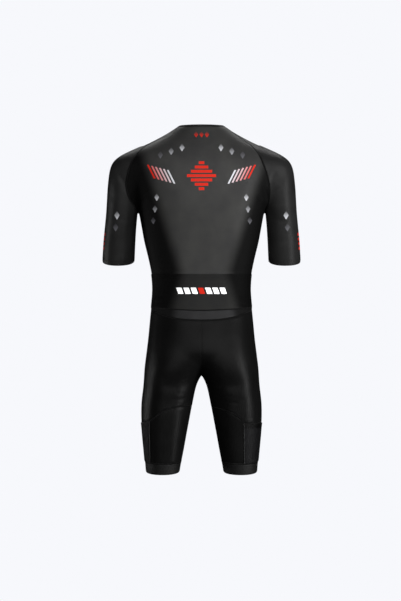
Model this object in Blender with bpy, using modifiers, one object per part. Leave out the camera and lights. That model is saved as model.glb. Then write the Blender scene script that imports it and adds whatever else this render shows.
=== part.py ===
"""Short-sleeved triathlon suit, filled out as it is worn, with nobody in it.

The cloth is one hollow form, cut into the pieces that a maker sews together. The form is worked out
from horizontal sections of the trunk, the two legs and the arms. Each piece is a four-sided net of
points on that form between its seams, given a wall along the form's own normals, so that
neighbouring walls stay parallel and a seam's width apart.

Metres, +Z up. The front faces -Y and the wearer's left is +X. The origin is the middle of the neck
opening, at the height of the back neck edge's seam, where the wearer's shoulders carry the suit.
"""

import math

import bmesh
import bpy
import numpy as np

# Cloth and seams
WALL = 0.0014
SEAM_GAP = 0.0003
BINDING_WIDTH = 0.008
BINDING_WALL = 0.0022
POCKET_EASE = 0.0012

# Heights, all measured from the neck point down
NECK_TOP = 0.006
NECK_REACH = 0.066
NECK_FRONT_DROP = 0.051
NECK_DROP_POWER = 1.6
NECK_SIDE_ANGLE = 0.0
NECK_FRONT_ANGLE = -40.0
POCKET_TOP = -0.410
WAIST_SIDE = -0.5035
WAIST_BACK = -0.5105
WAIST_FRONT = -0.500
YOKE_SIDE = -0.5090
YOKE_BACK = -0.5390
CROTCH_RAY_HEIGHT = -0.600
THIGH_SEAM = -0.826
GRIPPER_TOP = -0.9325
GRIPPER_BACK_DROP = 0.006
LEG_HEM = -0.9615
LEG_HEM_BACK_DROP = 0.0085
SLEEVE_HEM = -0.3730
SLEEVE_HEM_BACK_DROP = 0.0140

UNDERARM = (0.179, -0.015, -0.190)
BELOW_UNDERARM = -0.262
BELOW_YOKE = -0.570
BELOW_CROTCH = -0.716
CROTCH_DEPTH = 0.010

# Sections of the trunk. Below the seat each one is a pair of lobes, one for each leg, whose centres
# stand apart by twice "centre" and which "bridge" rounds into one another.
# height, centre, half width, back, front, squareness, bridge
TRUNK = (
    (0.030, 0.0000, 0.0360, 0.050, -0.042, 2.00, 0.000),
    (0.010, 0.0000, 0.0560, 0.056, -0.049, 2.00, 0.000),
    (0.000, 0.0000, 0.0660, 0.060, -0.053, 2.00, 0.000),
    (-0.020, 0.0000, 0.1000, 0.068, -0.061, 2.00, 0.000),
    (-0.040, 0.0000, 0.1370, 0.078, -0.069, 2.00, 0.000),
    (-0.053, 0.0000, 0.1640, 0.084, -0.074, 2.00, 0.000),
    (-0.070, 0.0000, 0.2080, 0.091, -0.081, 2.00, 0.000),
    (-0.095, 0.0000, 0.2330, 0.100, -0.091, 2.10, 0.000),
    (-0.130, 0.0000, 0.2120, 0.107, -0.103, 2.20, 0.000),
    (-0.165, 0.0000, 0.1990, 0.110, -0.112, 2.30, 0.000),
    (-0.200, 0.0000, 0.1870, 0.110, -0.118, 2.35, 0.000),
    (-0.242, 0.0000, 0.1740, 0.107, -0.121, 2.40, 0.000),
    (-0.275, 0.0000, 0.1680, 0.103, -0.120, 2.40, 0.000),
    (-0.320, 0.0000, 0.1600, 0.097, -0.115, 2.40, 0.000),
    (-0.365, 0.0000, 0.1485, 0.090, -0.109, 2.40, 0.000),
    (-0.410, 0.0000, 0.1390, 0.085, -0.104, 2.40, 0.000),
    (-0.455, 0.0000, 0.1360, 0.083, -0.102, 2.40, 0.000),
    (-0.499, 0.0000, 0.1400, 0.087, -0.102, 2.40, 0.000),
    (-0.544, 0.0060, 0.1385, 0.097, -0.102, 2.35, 0.010),
    (-0.589, 0.0220, 0.1265, 0.108, -0.098, 2.30, 0.030),
    (-0.634, 0.0460, 0.1080, 0.114, -0.092, 2.20, 0.040),
    (-0.672, 0.0720, 0.0870, 0.110, -0.087, 2.10, 0.010),
    (-0.700, 0.0835, 0.0770, 0.103, -0.083, 2.10, 0.003),
    (-0.723, 0.0890, 0.0730, 0.098, -0.080, 2.10, 0.001),
    (-0.768, 0.0965, 0.0715, 0.090, -0.077, 2.10, 0.000),
    (-0.813, 0.1010, 0.0675, 0.082, -0.073, 2.10, 0.000),
    (-0.858, 0.1037, 0.0617, 0.073, -0.067, 2.10, 0.000),
    (-0.903, 0.1055, 0.0555, 0.064, -0.062, 2.10, 0.000),
    (-0.947, 0.1080, 0.0490, 0.056, -0.058, 2.10, 0.000),
    (-0.985, 0.1095, 0.0450, 0.052, -0.055, 2.10, 0.000),
)

# Sections of one arm. "blend" rounds the arm into the trunk.
# height, centre, depth, half width, half depth, squareness, blend
ARM = (
    (-0.050, 0.1640, 0.002, 0.0010, 0.001, 2.0, 0.000),
    (-0.062, 0.1780, 0.002, 0.0140, 0.016, 2.0, 0.006),
    (-0.074, 0.1880, 0.002, 0.0330, 0.034, 2.0, 0.014),
    (-0.085, 0.1950, 0.002, 0.0460, 0.047, 2.0, 0.020),
    (-0.102, 0.2010, 0.001, 0.0515, 0.053, 2.0, 0.026),
    (-0.119, 0.2050, 0.000, 0.0525, 0.055, 2.0, 0.030),
    (-0.164, 0.2125, -0.006, 0.0505, 0.057, 2.0, 0.034),
    (-0.205, 0.2190, -0.015, 0.0465, 0.056, 2.0, 0.022),
    (-0.237, 0.2235, -0.023, 0.0440, 0.054, 2.0, 0.007),
    (-0.275, 0.2275, -0.033, 0.0440, 0.0525, 2.0, 0.004),
    (-0.320, 0.2315, -0.046, 0.0450, 0.052, 2.0, 0.004),
    (-0.365, 0.2340, -0.059, 0.0453, 0.052, 2.0, 0.004),
    (-0.405, 0.2360, -0.070, 0.0453, 0.052, 2.0, 0.004),
)
EASE = 0.012
STEP = 0.001

# Raglan seams, as seen from behind and from the front
# height, how far out on the left, how far out on the right
RAGLAN_BACK = (
    (-0.033, 0.1180, 0.1100),
    (-0.047, 0.1460, 0.1320),
    (-0.070, 0.1750, 0.1540),
    (-0.101, 0.1950, 0.1700),
    (-0.129, 0.2050, 0.1810),
    (-0.157, 0.2100, 0.1880),
    (-0.192, 0.2040, 0.1900),
    (-0.218, 0.1900, 0.1870),
)
RAGLAN_FRONT = (
    (-0.060, 0.1080, 0.1080),
    (-0.090, 0.1370, 0.1370),
    (-0.125, 0.1580, 0.1580),
    (-0.160, 0.1720, 0.1720),
    (-0.195, 0.1790, 0.1790),
    (-0.218, 0.1800, 0.1800),
)

# The yoke's lower seam: how far out, height
YOKE = (
    (0.000, -0.5390),
    (0.048, -0.5368),
    (0.092, -0.5300),
    (0.120, -0.5200),
)

# The curved thigh seams: how far out and height on the left leg, then the same on the right
THIGH_BACK = (
    (0.1440, -0.8200, 0.1175, -0.8256),
    (0.1266, -0.8066, 0.1086, -0.8110),
    (0.0994, -0.7870, 0.0840, -0.7960),
    (0.0640, -0.7780, 0.0600, -0.7870),
)
THIGH_FRONT = (
    (0.1400, -0.8230, 0.1400, -0.8230),
    (0.1150, -0.8060, 0.1150, -0.8060),
    (0.0850, -0.7930, 0.0850, -0.7930),
    (0.0550, -0.7820, 0.0550, -0.7820),
)
THIGH_INNER = -0.774

# The ring where the sleeve becomes a tube: degrees round the arm, height
ARMHOLE_RING = (
    (140, -0.247),
    (90, -0.252),
    (45, -0.248),
    (0, -0.244),
    (-45, -0.241),
    (-90, -0.240),
    (-140, -0.241),
)

# How far out the side panel's seams meet the gripper band, on the left (1) and the right (-1) leg
SIDE_SEAM_BACK_FOOT = {1: 0.1425, -1: 0.1190}
SIDE_SEAM_FRONT_FOOT = {1: 0.1370, -1: 0.1370}

# Soft troughs (depth above 0) and ridges (below 0), each on a line from one point to another, as
# seen from behind (face 1) or from the front (face -1). Every fold is on both sides of the suit.
# face, out, height, to out, to height, width, depth
FOLDS = (
    (1, 0.207, -0.162, 0.238, -0.114, 0.020, 0.0026),
    (1, 0.226, -0.162, 0.250, -0.134, 0.020, -0.0014),
    (1, 0.172, -0.212, 0.142, -0.164, 0.022, 0.0026),
    (-1, 0.172, -0.204, 0.132, -0.154, 0.024, 0.0030),
    (-1, 0.190, -0.190, 0.214, -0.136, 0.020, 0.0022),
    (1, 0.034, -0.756, 0.110, -0.767, 0.020, 0.0024),
    (1, 0.035, -0.706, 0.115, -0.722, 0.024, 0.0034),
    (-1, 0.020, -0.704, 0.090, -0.664, 0.022, 0.0030),
    (-1, 0.030, -0.742, 0.090, -0.720, 0.020, 0.0022),
    (1, 0.128, -0.445, 0.060, -0.456, 0.022, 0.0018),
)

# Net sizes: how many quads lie along each stretch of seam
BODY_COLUMNS = 10
SLEEVE_COLUMNS = 18
RAGLAN_ROWS = 15
SIDE_ROWS = 10
POCKET_ROWS = 6
SLEEVE_ROWS = 8
YOKE_ROWS = 2
SEAT_ROWS = 12
INSEAM_ROWS = 5
POCKET_SIDE_COLUMNS = 3
THIGH_ROWS = 6
GRIPPER_ROWS = 2
UNDERARM_CROWD = 0.45
RELAX_ROUNDS = 16
SLANT = (1.0, 0.61, 0.37)

# Zip
ZIP_HALF_WIDTH = 0.006
ZIP_HALF_OPENING = 0.0008
TAPE_WALL = 0.0012
SLIDER_DROP = 0.010
SLIDER_WIDTH = 0.0080
SLIDER_LENGTH = 0.0100
SLIDER_DEPTH = 0.0030
SLIDER_CORNER = 0.0008
BRIDGE_WIDTH = 0.0024
BRIDGE_LENGTH = 0.0080
BRIDGE_HEIGHT = 0.0032
BRIDGE_BAR = 0.0010
BRIDGE_ROOT = 0.0006
BRIDGE_CORNER = 0.0012
PULL_WIDTH = 0.0054
PULL_LENGTH = 0.0230
PULL_THICKNESS = 0.0010
PULL_BAR = 0.0010
PULL_SLOT_WIDTH = 0.0030
PULL_SLOT_LENGTH = 0.0060
PULL_SLOT_CORNER = 0.0003
PULL_HOLE_WIDTH = 0.0024
PULL_HOLE_LENGTH = 0.0060
PULL_HOLE_CENTRE = -0.0180
PULL_AXIS_HEIGHT = 0.00105
PULL_AXIS_ALONG = -0.0018
PULL_CORNER = 0.0014
CORNER_STEPS = 3

# Colours: linear RGB, roughness, metallic
FINISHES = {
    "black_lycra": ((0.013, 0.013, 0.014), 0.42, 0.0),
    "black_mesh_lycra": ((0.020, 0.020, 0.021), 0.55, 0.0),
    "black_gripper_band": ((0.017, 0.017, 0.018), 0.60, 0.0),
    "black_binding": ((0.010, 0.010, 0.010), 0.55, 0.0),
    "black_zip_tape": ((0.012, 0.012, 0.013), 0.70, 0.0),
    "black_enamelled_zinc": ((0.020, 0.020, 0.022), 0.35, 0.8),
}


def eased(table):
    """The table's columns over a fine scale of heights, with straight runs eased into each other."""
    rows = np.array(sorted(table))
    heights = np.arange(rows[0, 0] - 0.08, rows[-1, 0] + 0.08, STEP)
    reach = int(3 * EASE / STEP)
    kernel = np.exp(-0.5 * (np.arange(-reach, reach + 1) * STEP / EASE) ** 2)
    kernel /= kernel.sum()
    columns = []
    for column in rows.T[1:]:
        low = column[0] + (heights - rows[0, 0]) * (column[1] - column[0]) / (rows[1, 0] - rows[0, 0])
        high = column[-1] + (heights - rows[-1, 0]) * (column[-1] - column[-2]) / (rows[-1, 0] - rows[-2, 0])
        line = np.interp(heights, rows[:, 0], column)
        line = np.where(heights < rows[0, 0], low, line)
        line = np.where(heights > rows[-1, 0], high, line)
        padded = np.pad(line, reach, mode="reflect", reflect_type="odd")
        columns.append(np.convolve(padded, kernel, mode="valid"))
    return heights, columns


TRUNK_SCALE = eased(TRUNK)
ARM_SCALE = eased(ARM)


def section(scale, height):
    heights, columns = scale
    return [np.interp(height, heights, column) for column in columns]


def from_oval(across, along, half_width, half_depth, power):
    """About how far a point lies outside a rounded oval, below 0 inside it."""
    half_width = np.maximum(half_width, 1e-4)
    half_depth = np.maximum(half_depth, 1e-4)
    reach = (np.abs(across / half_width) ** power + np.abs(along / half_depth) ** power) ** (1 / power)
    length = np.hypot(across, along)
    inside = -np.minimum(half_width, half_depth)
    return np.where(length < 1e-6, inside, length * (1 - 1 / np.maximum(reach, 1e-6)))


def rounded_min(first, second, radius):
    radius = np.maximum(radius, 1e-6)
    near = np.maximum(radius - np.abs(first - second), 0) / radius
    return np.minimum(first, second) - near * near * radius / 4


def body_form(points):
    """The smooth form: below 0 inside the suit, 0 on its outer face."""
    x, y, z = np.abs(points[..., 0]), points[..., 1], points[..., 2]
    centre, half_width, back, front, power, bridge = section(TRUNK_SCALE, z)
    centre = np.maximum(centre, 0)
    middle = (back + front) / 2
    half_depth = (back - front) / 2
    near_lobe = from_oval(x - centre, y - middle, half_width, half_depth, power)
    far_lobe = from_oval(x + centre, y - middle, half_width, half_depth, power)
    trunk = rounded_min(near_lobe, far_lobe, bridge)
    centre, depth, half_width, half_depth, power, blend = section(ARM_SCALE, z)
    arm = from_oval(x - centre, y - depth, half_width, half_depth, power)
    return rounded_min(trunk, arm, blend)


def normals(field, points):
    """Unit normals of a field, pointing outwards, and how fast it grows along them."""
    small = 0.0004
    slope = np.empty_like(points)
    for axis in range(3):
        step = np.zeros(3)
        step[axis] = small
        slope[..., axis] = (field(points + step) - field(points - step)) / (2 * small)
    size = np.linalg.norm(slope, axis=-1, keepdims=True)
    return slope / np.maximum(size, 1e-9), size[..., 0]


def settle(field, points, rounds=8):
    """Moves points the short way onto the field's zero face."""
    points = np.array(points, float)
    for _ in range(rounds):
        direction, growth = normals(field, points)
        move = np.clip(field(points) / np.maximum(growth, 0.3), -0.012, 0.012)
        points = points - direction * move[..., None]
    return points


def rows_of(*parts):
    """Rows of x, y and z from three numbers or lines of numbers."""
    return np.stack(np.broadcast_arrays(*[np.atleast_1d(part) for part in parts]), axis=-1).astype(float)


def cast(field, origins, ways):
    """Where rays from inside the form first leave it."""
    origins, ways = np.broadcast_arrays(origins, ways / np.linalg.norm(ways, axis=1, keepdims=True))
    steps = np.arange(0, 0.45, 0.002)
    outside = field(origins[:, None] + steps[:, None] * ways[:, None]) > 0
    first = np.argmax(outside, axis=1)
    low, high = steps[np.maximum(first - 1, 0)], steps[first]
    for _ in range(16):
        middle = (low + high) / 2
        beyond = field(origins + middle[:, None] * ways) > 0
        low, high = np.where(beyond, low, middle), np.where(beyond, middle, high)
    return origins + low[:, None] * ways


def trunk_middle(height):
    _, _, back, front, _, _ = section(TRUNK_SCALE, height)
    return (back + front) / 2


def on_face(out, height, face, side, field=None):
    """The form's back (face 1) or front (face -1) at places given sideways and by height."""
    out, height = np.atleast_1d(out), np.atleast_1d(height)
    origins = rows_of(side * out, trunk_middle(height), height)
    return cast(field or form, origins, rows_of(0, face, 0))


def fold_lines():
    """Where each fold starts on the form, how it runs, and its width and depth, as four arrays."""
    lines = []
    for face, out, height, to_out, to_height, width, depth in FOLDS:
        for side in (1, -1):
            start, end = on_face((out, to_out), (height, to_height), face, side, body_form)
            lines.append((start, end - start, width, depth))
    return [np.array(column) for column in zip(*lines)]


FOLD_STARTS, FOLD_RUNS, FOLD_WIDTHS, FOLD_DEPTHS = fold_lines()


def form(points):
    """The smooth form with its folds pressed in, each one deepest at the middle of its length."""
    reach = points[..., None, :] - FOLD_STARTS
    along = np.sum(reach * FOLD_RUNS, axis=-1) / np.sum(FOLD_RUNS**2, axis=-1)
    along = np.clip(along, 0, 1)
    away = np.linalg.norm(reach - along[..., None] * FOLD_RUNS, axis=-1)
    swell = np.sin(math.pi * np.clip(along, 0.04, 0.96)) ** 0.6
    pressed = FOLD_DEPTHS * swell * np.exp(-((away / FOLD_WIDTHS) ** 2))
    return body_form(points) + np.sum(pressed, axis=-1)


def spaced(line, count, crowd=0.0):
    """A line of points read again at count steps, crowded to its start (above 0) or its end (below 0)."""
    line = np.asarray(line)
    reach = np.concatenate([[0], np.cumsum(np.linalg.norm(np.diff(line, axis=0), axis=1))])
    share = np.linspace(0, 1, count + 1)
    share = 1 - (1 - share) ** (1 - crowd) if crowd < 0 else share ** (1 + crowd)
    marks = share * reach[-1]
    return np.stack([np.interp(marks, reach, line[:, axis]) for axis in range(3)], axis=1)


def smooth_line(anchors, dense=24):
    """A smooth curve through the anchors, by cubic runs between them."""
    anchors = np.array(anchors, float)
    before = 2 * anchors[0] - anchors[1]
    after = 2 * anchors[-1] - anchors[-2]
    points = np.vstack([before, anchors, after])
    spans = np.linalg.norm(np.diff(points, axis=0), axis=1) ** 0.5
    knots = np.concatenate([[0], np.cumsum(spans)])
    line = [anchors[0]]
    for index in range(1, len(points) - 2):
        k = knots[index - 1 : index + 3]
        p = points[index - 1 : index + 3]
        for t in np.linspace(k[1], k[2], dense + 1)[1:]:
            a1 = p[0] + (p[1] - p[0]) * (t - k[0]) / (k[1] - k[0])
            a2 = p[1] + (p[2] - p[1]) * (t - k[1]) / (k[2] - k[1])
            a3 = p[2] + (p[3] - p[2]) * (t - k[2]) / (k[3] - k[2])
            b1 = a1 + (a2 - a1) * (t - k[0]) / (k[2] - k[0])
            b2 = a2 + (a3 - a2) * (t - k[1]) / (k[3] - k[1])
            line.append(b1 + (b2 - b1) * (t - k[1]) / (k[2] - k[1]))
    return np.array(line)


def seam(anchors, count, crowd=0.0):
    """A seam through anchors on the form, as count stretches that lie on it."""
    line = settle(form, smooth_line(anchors))
    return settle(form, spaced(line, count, crowd))


def patch(top, bottom, left, right):
    """A net of points on the form between four seams, its rows from top to bottom."""
    rows, columns = len(left), len(top)
    u = np.linspace(0, 1, columns)[None, :, None]
    v = np.linspace(0, 1, rows)[:, None, None]
    net = (1 - v) * top[None] + v * bottom[None] + (1 - u) * left[:, None] + u * right[:, None]
    net = net - (1 - u) * (1 - v) * top[0] - u * (1 - v) * top[-1]
    net = net - (1 - u) * v * bottom[0] - u * v * bottom[-1]
    net[0], net[-1], net[:, 0], net[:, -1] = top, bottom, left, right
    inner = settle(form, net[1:-1, 1:-1])
    for _ in range(RELAX_ROUNDS):
        net[1:-1, 1:-1] = inner
        middle = net[:-2, 1:-1] + net[2:, 1:-1] + net[1:-1, :-2] + net[1:-1, 2:]
        inner = settle(form, 0.5 * inner + 0.125 * middle, rounds=2)
    net[1:-1, 1:-1] = settle(form, inner)
    return net


def turned(degrees, side):
    """Level ways out from a middle line: 90 is the back, 0 the outer side, -90 the front."""
    angle = np.radians(degrees)
    return rows_of(side * np.cos(angle), np.sin(angle), 0)


def trunk_places(degrees, height, side):
    degrees, height = np.atleast_1d(degrees), np.atleast_1d(height)
    return cast(form, rows_of(0, trunk_middle(height), height), turned(degrees, side))


def neck_arc(start, end, side, count):
    """Part of the neck edge, by the same angles."""
    degrees = np.linspace(start, end, 2 * count + 2)
    forward = np.maximum(-np.sin(np.radians(degrees)), 0)
    height = NECK_TOP - NECK_FRONT_DROP * forward**NECK_DROP_POWER
    return seam(trunk_places(degrees, height, side), count)


def below(line, width):
    """A line on the form, moved across it by a width, towards the hem."""
    run = np.gradient(line, axis=0)
    run /= np.linalg.norm(run, axis=1, keepdims=True)
    across = np.cross(normals(form, line)[0], run)
    across *= -np.sign(across[:, 2:])
    return settle(form, line + width * across)


def leg_places(degrees, height, side):
    """On a leg: 0 is its outer side, 90 the back, 180 the inner side and -90 the front."""
    degrees, height = np.atleast_1d(degrees), np.atleast_1d(height)
    centre = section(TRUNK_SCALE, height)[0]
    return cast(form, rows_of(side * centre, trunk_middle(height), height), turned(degrees, side))


def arm_places(degrees, height, side):
    """On a sleeve, by the same angles as on a leg."""
    degrees, height = np.atleast_1d(degrees), np.atleast_1d(height)
    centre, depth = section(ARM_SCALE, height)[:2]
    return cast(form, rows_of(side * centre, depth, height), turned(degrees, side))


def leg_angle(out, height, face, side):
    """The angle round a leg of a place on its back or front."""
    centre = section(TRUNK_SCALE, height)[0]
    place = on_face(out, height, face, side)[0]
    return math.degrees(math.atan2(place[1] - trunk_middle(height), side * place[0] - centre))


def leg_ring(height, drop, start, end, side, count):
    """Part of a ring round a leg, lower at the back by drop."""
    degrees = np.linspace(start, end, 2 * count + 2)
    heights = height - drop * np.sin(np.radians(degrees))
    return seam(leg_places(degrees, heights, side), count)


def raglan(table, start, underarm, face, side):
    heights, left, right = np.array(table).T
    anchors = on_face(left if side > 0 else right, heights, face, side)
    return seam([start, *anchors, underarm], RAGLAN_ROWS, -UNDERARM_CROWD)


def joined(*lines):
    """Lines laid end to end, without their shared ends."""
    return np.vstack([lines[0], *[line[1:] for line in lines[1:]]])


def half_suit(side):
    """Every seam and net of one side, in a dictionary. Nets run from the front or outer side inwards."""
    cut = {}
    neck_back = neck_arc(90, NECK_SIDE_ANGLE, side, BODY_COLUMNS)
    neck_sleeve = neck_arc(NECK_SIDE_ANGLE, NECK_FRONT_ANGLE, side, SLEEVE_COLUMNS)
    zip_angle = -90 + math.degrees(math.atan2(ZIP_HALF_WIDTH, NECK_REACH))
    open_angle = -90 + math.degrees(math.atan2(ZIP_HALF_OPENING, NECK_REACH))
    neck_front = neck_arc(NECK_FRONT_ANGLE, zip_angle, side, BODY_COLUMNS - 1)
    neck_tape = neck_arc(zip_angle, open_angle, side, 1)
    top = joined(neck_back, neck_sleeve, neck_front, neck_tape)
    foot = below(top, BINDING_WIDTH)
    foot[0, 0] = 0.0
    foot[-2:] = on_face((ZIP_HALF_WIDTH, ZIP_HALF_OPENING), foot[-2:, 2], -1, side)
    cut["binding"] = np.stack([top, foot])
    first = BODY_COLUMNS
    second = first + SLEEVE_COLUMNS
    third = second + BODY_COLUMNS - 1
    edge_back, edge_sleeve = foot[: first + 1], foot[first : second + 1]
    edge_front, edge_tape = foot[second : third + 1], foot[third:]

    downward = rows_of(0, 0, -1)
    underarm = cast(form, rows_of(side * UNDERARM[0], UNDERARM[1], UNDERARM[2]), downward)[0]
    seam_back = raglan(RAGLAN_BACK, edge_sleeve[0], underarm, 1, side)
    seam_front = raglan(RAGLAN_FRONT, edge_sleeve[-1], underarm, -1, side)

    side_high = trunk_places(0, np.linspace(BELOW_UNDERARM, POCKET_TOP, 6), side)
    side_up = seam([underarm, *side_high], SIDE_ROWS, UNDERARM_CROWD)
    side_low = seam(trunk_places(0, np.linspace(POCKET_TOP, WAIST_SIDE, 5), side), POCKET_ROWS)
    side_low[0] = side_up[-1]
    waist_corner = side_low[-1]

    # Back bodice, in two nets that meet along the rear pocket's top edge
    turns = np.linspace(90, 0, 13)
    sag = np.sin(np.radians(turns)) ** 2
    pocket_line = seam(trunk_places(turns, np.full(13, POCKET_TOP), side), BODY_COLUMNS)
    pocket_line[-1] = side_up[-1]
    waist_back = trunk_places(turns, WAIST_SIDE + (WAIST_BACK - WAIST_SIDE) * sag, side)
    waist_back = seam(waist_back, BODY_COLUMNS)
    waist_back[-1] = waist_corner
    cut["neck_back"], cut["side_back"] = edge_back, joined(seam_back, side_up)
    cut["side_low"] = side_low
    cut["pocket_line"], cut["waist_back"] = pocket_line, waist_back

    # Front bodice and zip tape
    heights = WAIST_SIDE + (WAIST_FRONT - WAIST_SIDE) * sag
    waist_front = trunk_places(-turns[::-1], heights[::-1], side)
    waist_zip = on_face(ZIP_HALF_WIDTH, WAIST_FRONT, -1, side)[0]
    waist_front = seam([*waist_front[:-2], waist_zip], BODY_COLUMNS - 1)
    waist_front[0] = waist_corner
    body_rows = RAGLAN_ROWS + SIDE_ROWS + POCKET_ROWS
    zip_heights = np.linspace(edge_front[-1, 2], WAIST_FRONT, 20)
    zip_edge = seam(on_face(ZIP_HALF_WIDTH, zip_heights, -1, side), body_rows)
    tape_edge = seam(on_face(ZIP_HALF_OPENING, zip_heights, -1, side), body_rows)
    zip_edge[0], zip_edge[-1], tape_edge[0] = edge_front[-1], waist_front[-1], edge_tape[-1]
    front_side = joined(seam_front, side_up, side_low)
    cut["front_bodice"] = [patch(edge_front, waist_front, front_side, zip_edge)]
    cut["zip_tape"] = [np.stack([zip_edge, tape_edge], axis=1)]
    cut["tape_edge"] = tape_edge

    # Sleeve: a saddle between the raglan seams, then a tube
    ring = arm_places(*np.array(ARMHOLE_RING).T, side)
    ring = seam([underarm, *ring, underarm], SLEEVE_COLUMNS)
    saddle = patch(edge_sleeve, ring, seam_back, seam_front)
    degrees = np.linspace(180, -180, 37)
    drop = SLEEVE_HEM_BACK_DROP * np.sin(np.radians(degrees))
    hem = seam(arm_places(degrees, SLEEVE_HEM - drop, side), SLEEVE_COLUMNS)
    hem[-1] = hem[0]
    under = arm_places(180, np.linspace(BELOW_UNDERARM, SLEEVE_HEM, 5), side)
    under = seam([underarm, *under], SLEEVE_ROWS, UNDERARM_CROWD)
    under[-1] = hem[0]
    tube = patch(ring, hem, under, under)
    cut["sleeve"] = [np.vstack([saddle, tube[1:]])]

    # Yoke and shorts
    yoke_corner = trunk_places(0, YOKE_SIDE, side)[0]
    yoke_line = seam([*on_face(*np.array(YOKE).T, 1, side), yoke_corner], BODY_COLUMNS)
    yoke_line[0, 0] = 0.0
    cut["yoke_line"] = yoke_line
    cut["yoke_side"] = seam([waist_corner, yoke_corner], YOKE_ROWS)
    rise_centre = rows_of(0, CROTCH_DEPTH, CROTCH_RAY_HEIGHT)
    swing = np.radians(np.linspace(0, 90, 7))
    under_back = cast(form, rise_centre, rows_of(0, np.cos(swing), -np.sin(swing)))
    under_front = cast(form, rise_centre, rows_of(0, -np.cos(swing), -np.sin(swing)))
    crotch = under_back[-1]
    high_back = on_face(0, (YOKE_BACK, BELOW_YOKE), 1, side)
    rise_back = seam([*high_back, *under_back], SEAT_ROWS)
    high_front = on_face(0, (WAIST_FRONT, YOKE_BACK, BELOW_YOKE), -1, side)
    rise_front = seam([*high_front, *under_front], SEAT_ROWS + YOKE_ROWS)
    rise_back[:, 0] = 0.0
    rise_front[:, 0] = 0.0
    rise_back[0] = yoke_line[0]
    rise_front[-1] = rise_back[-1]
    inner = leg_places(180, np.linspace(BELOW_CROTCH, THIGH_INNER, 4), side)
    inseam = seam([crotch, *inner], INSEAM_ROWS)
    inseam[0] = rise_back[-1]
    outer = leg_places(0, np.linspace(YOKE_SIDE, THIGH_SEAM, 8)[1:], side)
    side_seat = seam([yoke_corner, *outer], SEAT_ROWS + INSEAM_ROWS)
    pick = slice(0, 2) if side > 0 else slice(2, 4)

    def thigh_line(table, face):
        out, height = np.array(table).T[pick]
        arch = seam([*on_face(out, height, face, side), inseam[-1]], BODY_COLUMNS - POCKET_SIDE_COLUMNS)
        share = np.linspace(0, 1, 7)
        heights = THIGH_SEAM + (height[0] - THIGH_SEAM) * share
        strip = leg_places(leg_angle(out[0], height[0], face, side) * share, heights, side)
        strip = seam([*strip[:-1], arch[0]], POCKET_SIDE_COLUMNS)
        strip[0], strip[-1] = side_seat[-1], arch[0]
        return strip, arch

    strip_back, arch_back = thigh_line(THIGH_BACK, 1)
    strip_front, arch_front = thigh_line(THIGH_FRONT, -1)
    bottom_back = joined(strip_back, arch_back)
    bottom_front = joined(strip_front, arch_front)
    seat_inner_back = joined(rise_back, inseam)
    seat_inner_front = joined(rise_front, inseam)
    cut["shorts_back"] = [patch(yoke_line[::-1], bottom_back, side_seat, seat_inner_back)]
    front_top = joined(waist_front, np.array([waist_front[-1], rise_front[0]]))
    front_outer = joined(cut["yoke_side"], side_seat)
    cut["shorts_front"] = [patch(front_top, bottom_front, front_outer, seat_inner_front)]

    # Lower leg: side panel, thigh panel and gripper band
    foot_height = GRIPPER_TOP
    back_foot = leg_angle(SIDE_SEAM_BACK_FOOT[side], foot_height - GRIPPER_BACK_DROP, 1, side)
    front_foot = leg_angle(SIDE_SEAM_FRONT_FOOT[side], foot_height + GRIPPER_BACK_DROP, -1, side)
    strips = BODY_COLUMNS - POCKET_SIDE_COLUMNS
    spans = ((0, back_foot, POCKET_SIDE_COLUMNS), (back_foot, 180, strips))
    spans += ((180, 360 + front_foot, strips), (360 + front_foot, 360, POCKET_SIDE_COLUMNS))
    rings = {}
    for name, height, drop in (
        ("gripper", GRIPPER_TOP, GRIPPER_BACK_DROP),
        ("hem", LEG_HEM, LEG_HEM_BACK_DROP),
    ):
        rings[name] = [leg_ring(height, drop, a, b, side, count) for a, b, count in spans]
        for index in range(4):
            rings[name][index][0] = rings[name][index - 1][-1]
    gripper = rings["gripper"]
    seam_back_leg = seam(straight(arch_back[0], gripper[0][-1]), THIGH_ROWS)
    seam_front_leg = seam(straight(arch_front[0], gripper[2][-1]), THIGH_ROWS)
    side_top = joined(strip_front[::-1], strip_back)
    side_foot = joined(gripper[3], gripper[0])
    cut["side_panel"] = [patch(side_top, side_foot, seam_front_leg, seam_back_leg)]
    thigh_top = joined(arch_back, arch_front[::-1])
    thigh_foot = joined(gripper[1], gripper[2])
    cut["thigh_panel"] = [patch(thigh_top, thigh_foot, seam_back_leg, seam_front_leg)]
    around_top, around_hem = joined(*gripper), joined(*rings["hem"])
    down = seam(straight(around_top[0], around_hem[0]), GRIPPER_ROWS)
    cut["leg_gripper"] = [patch(around_top, around_hem, down, down)]
    return cut


def straight(start, end, count=8):
    share = np.linspace(0, 1, count)[:, None]
    return settle(form, (1 - share) * start + share * end)


def net_mesh(nets):
    """The shared points and the quads of a piece's nets."""
    index, points, quads = {}, [], []

    def at(point):
        key = tuple(np.round(point, 7) + 0.0)
        if key not in index:
            index[key] = len(points)
            points.append(point)
        return index[key]

    for net in nets:
        numbers = [[at(point) for point in row] for row in net]
        for upper, lower in zip(numbers, numbers[1:]):
            for column in range(len(upper) - 1):
                quads.append((upper[column], lower[column], lower[column + 1], upper[column + 1]))
    return np.array(points), quads


def facing_out(points, quads, outward):
    """The quads, turned if need be so that they face the way the form does."""
    turn = 0.0
    for a, b, c, d in quads:
        turn += np.dot(np.cross(points[c] - points[a], points[d] - points[b]), outward[a])
    return quads if turn > 0 else [quad[::-1] for quad in quads]


def triangles_of(points, quads):
    """Each quad as two triangles, parted by the diagonal that lies nearer the form."""
    corners = points[np.array(quads)]
    first = np.abs(form((corners[:, 0] + corners[:, 2]) / 2))
    second = np.abs(form((corners[:, 1] + corners[:, 3]) / 2))
    triangles = []
    for (a, b, c, d), one, other in zip(quads, first, second):
        triangles += [(a, b, c), (a, c, d)] if one <= other else [(a, b, d), (b, c, d)]
    return triangles


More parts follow.
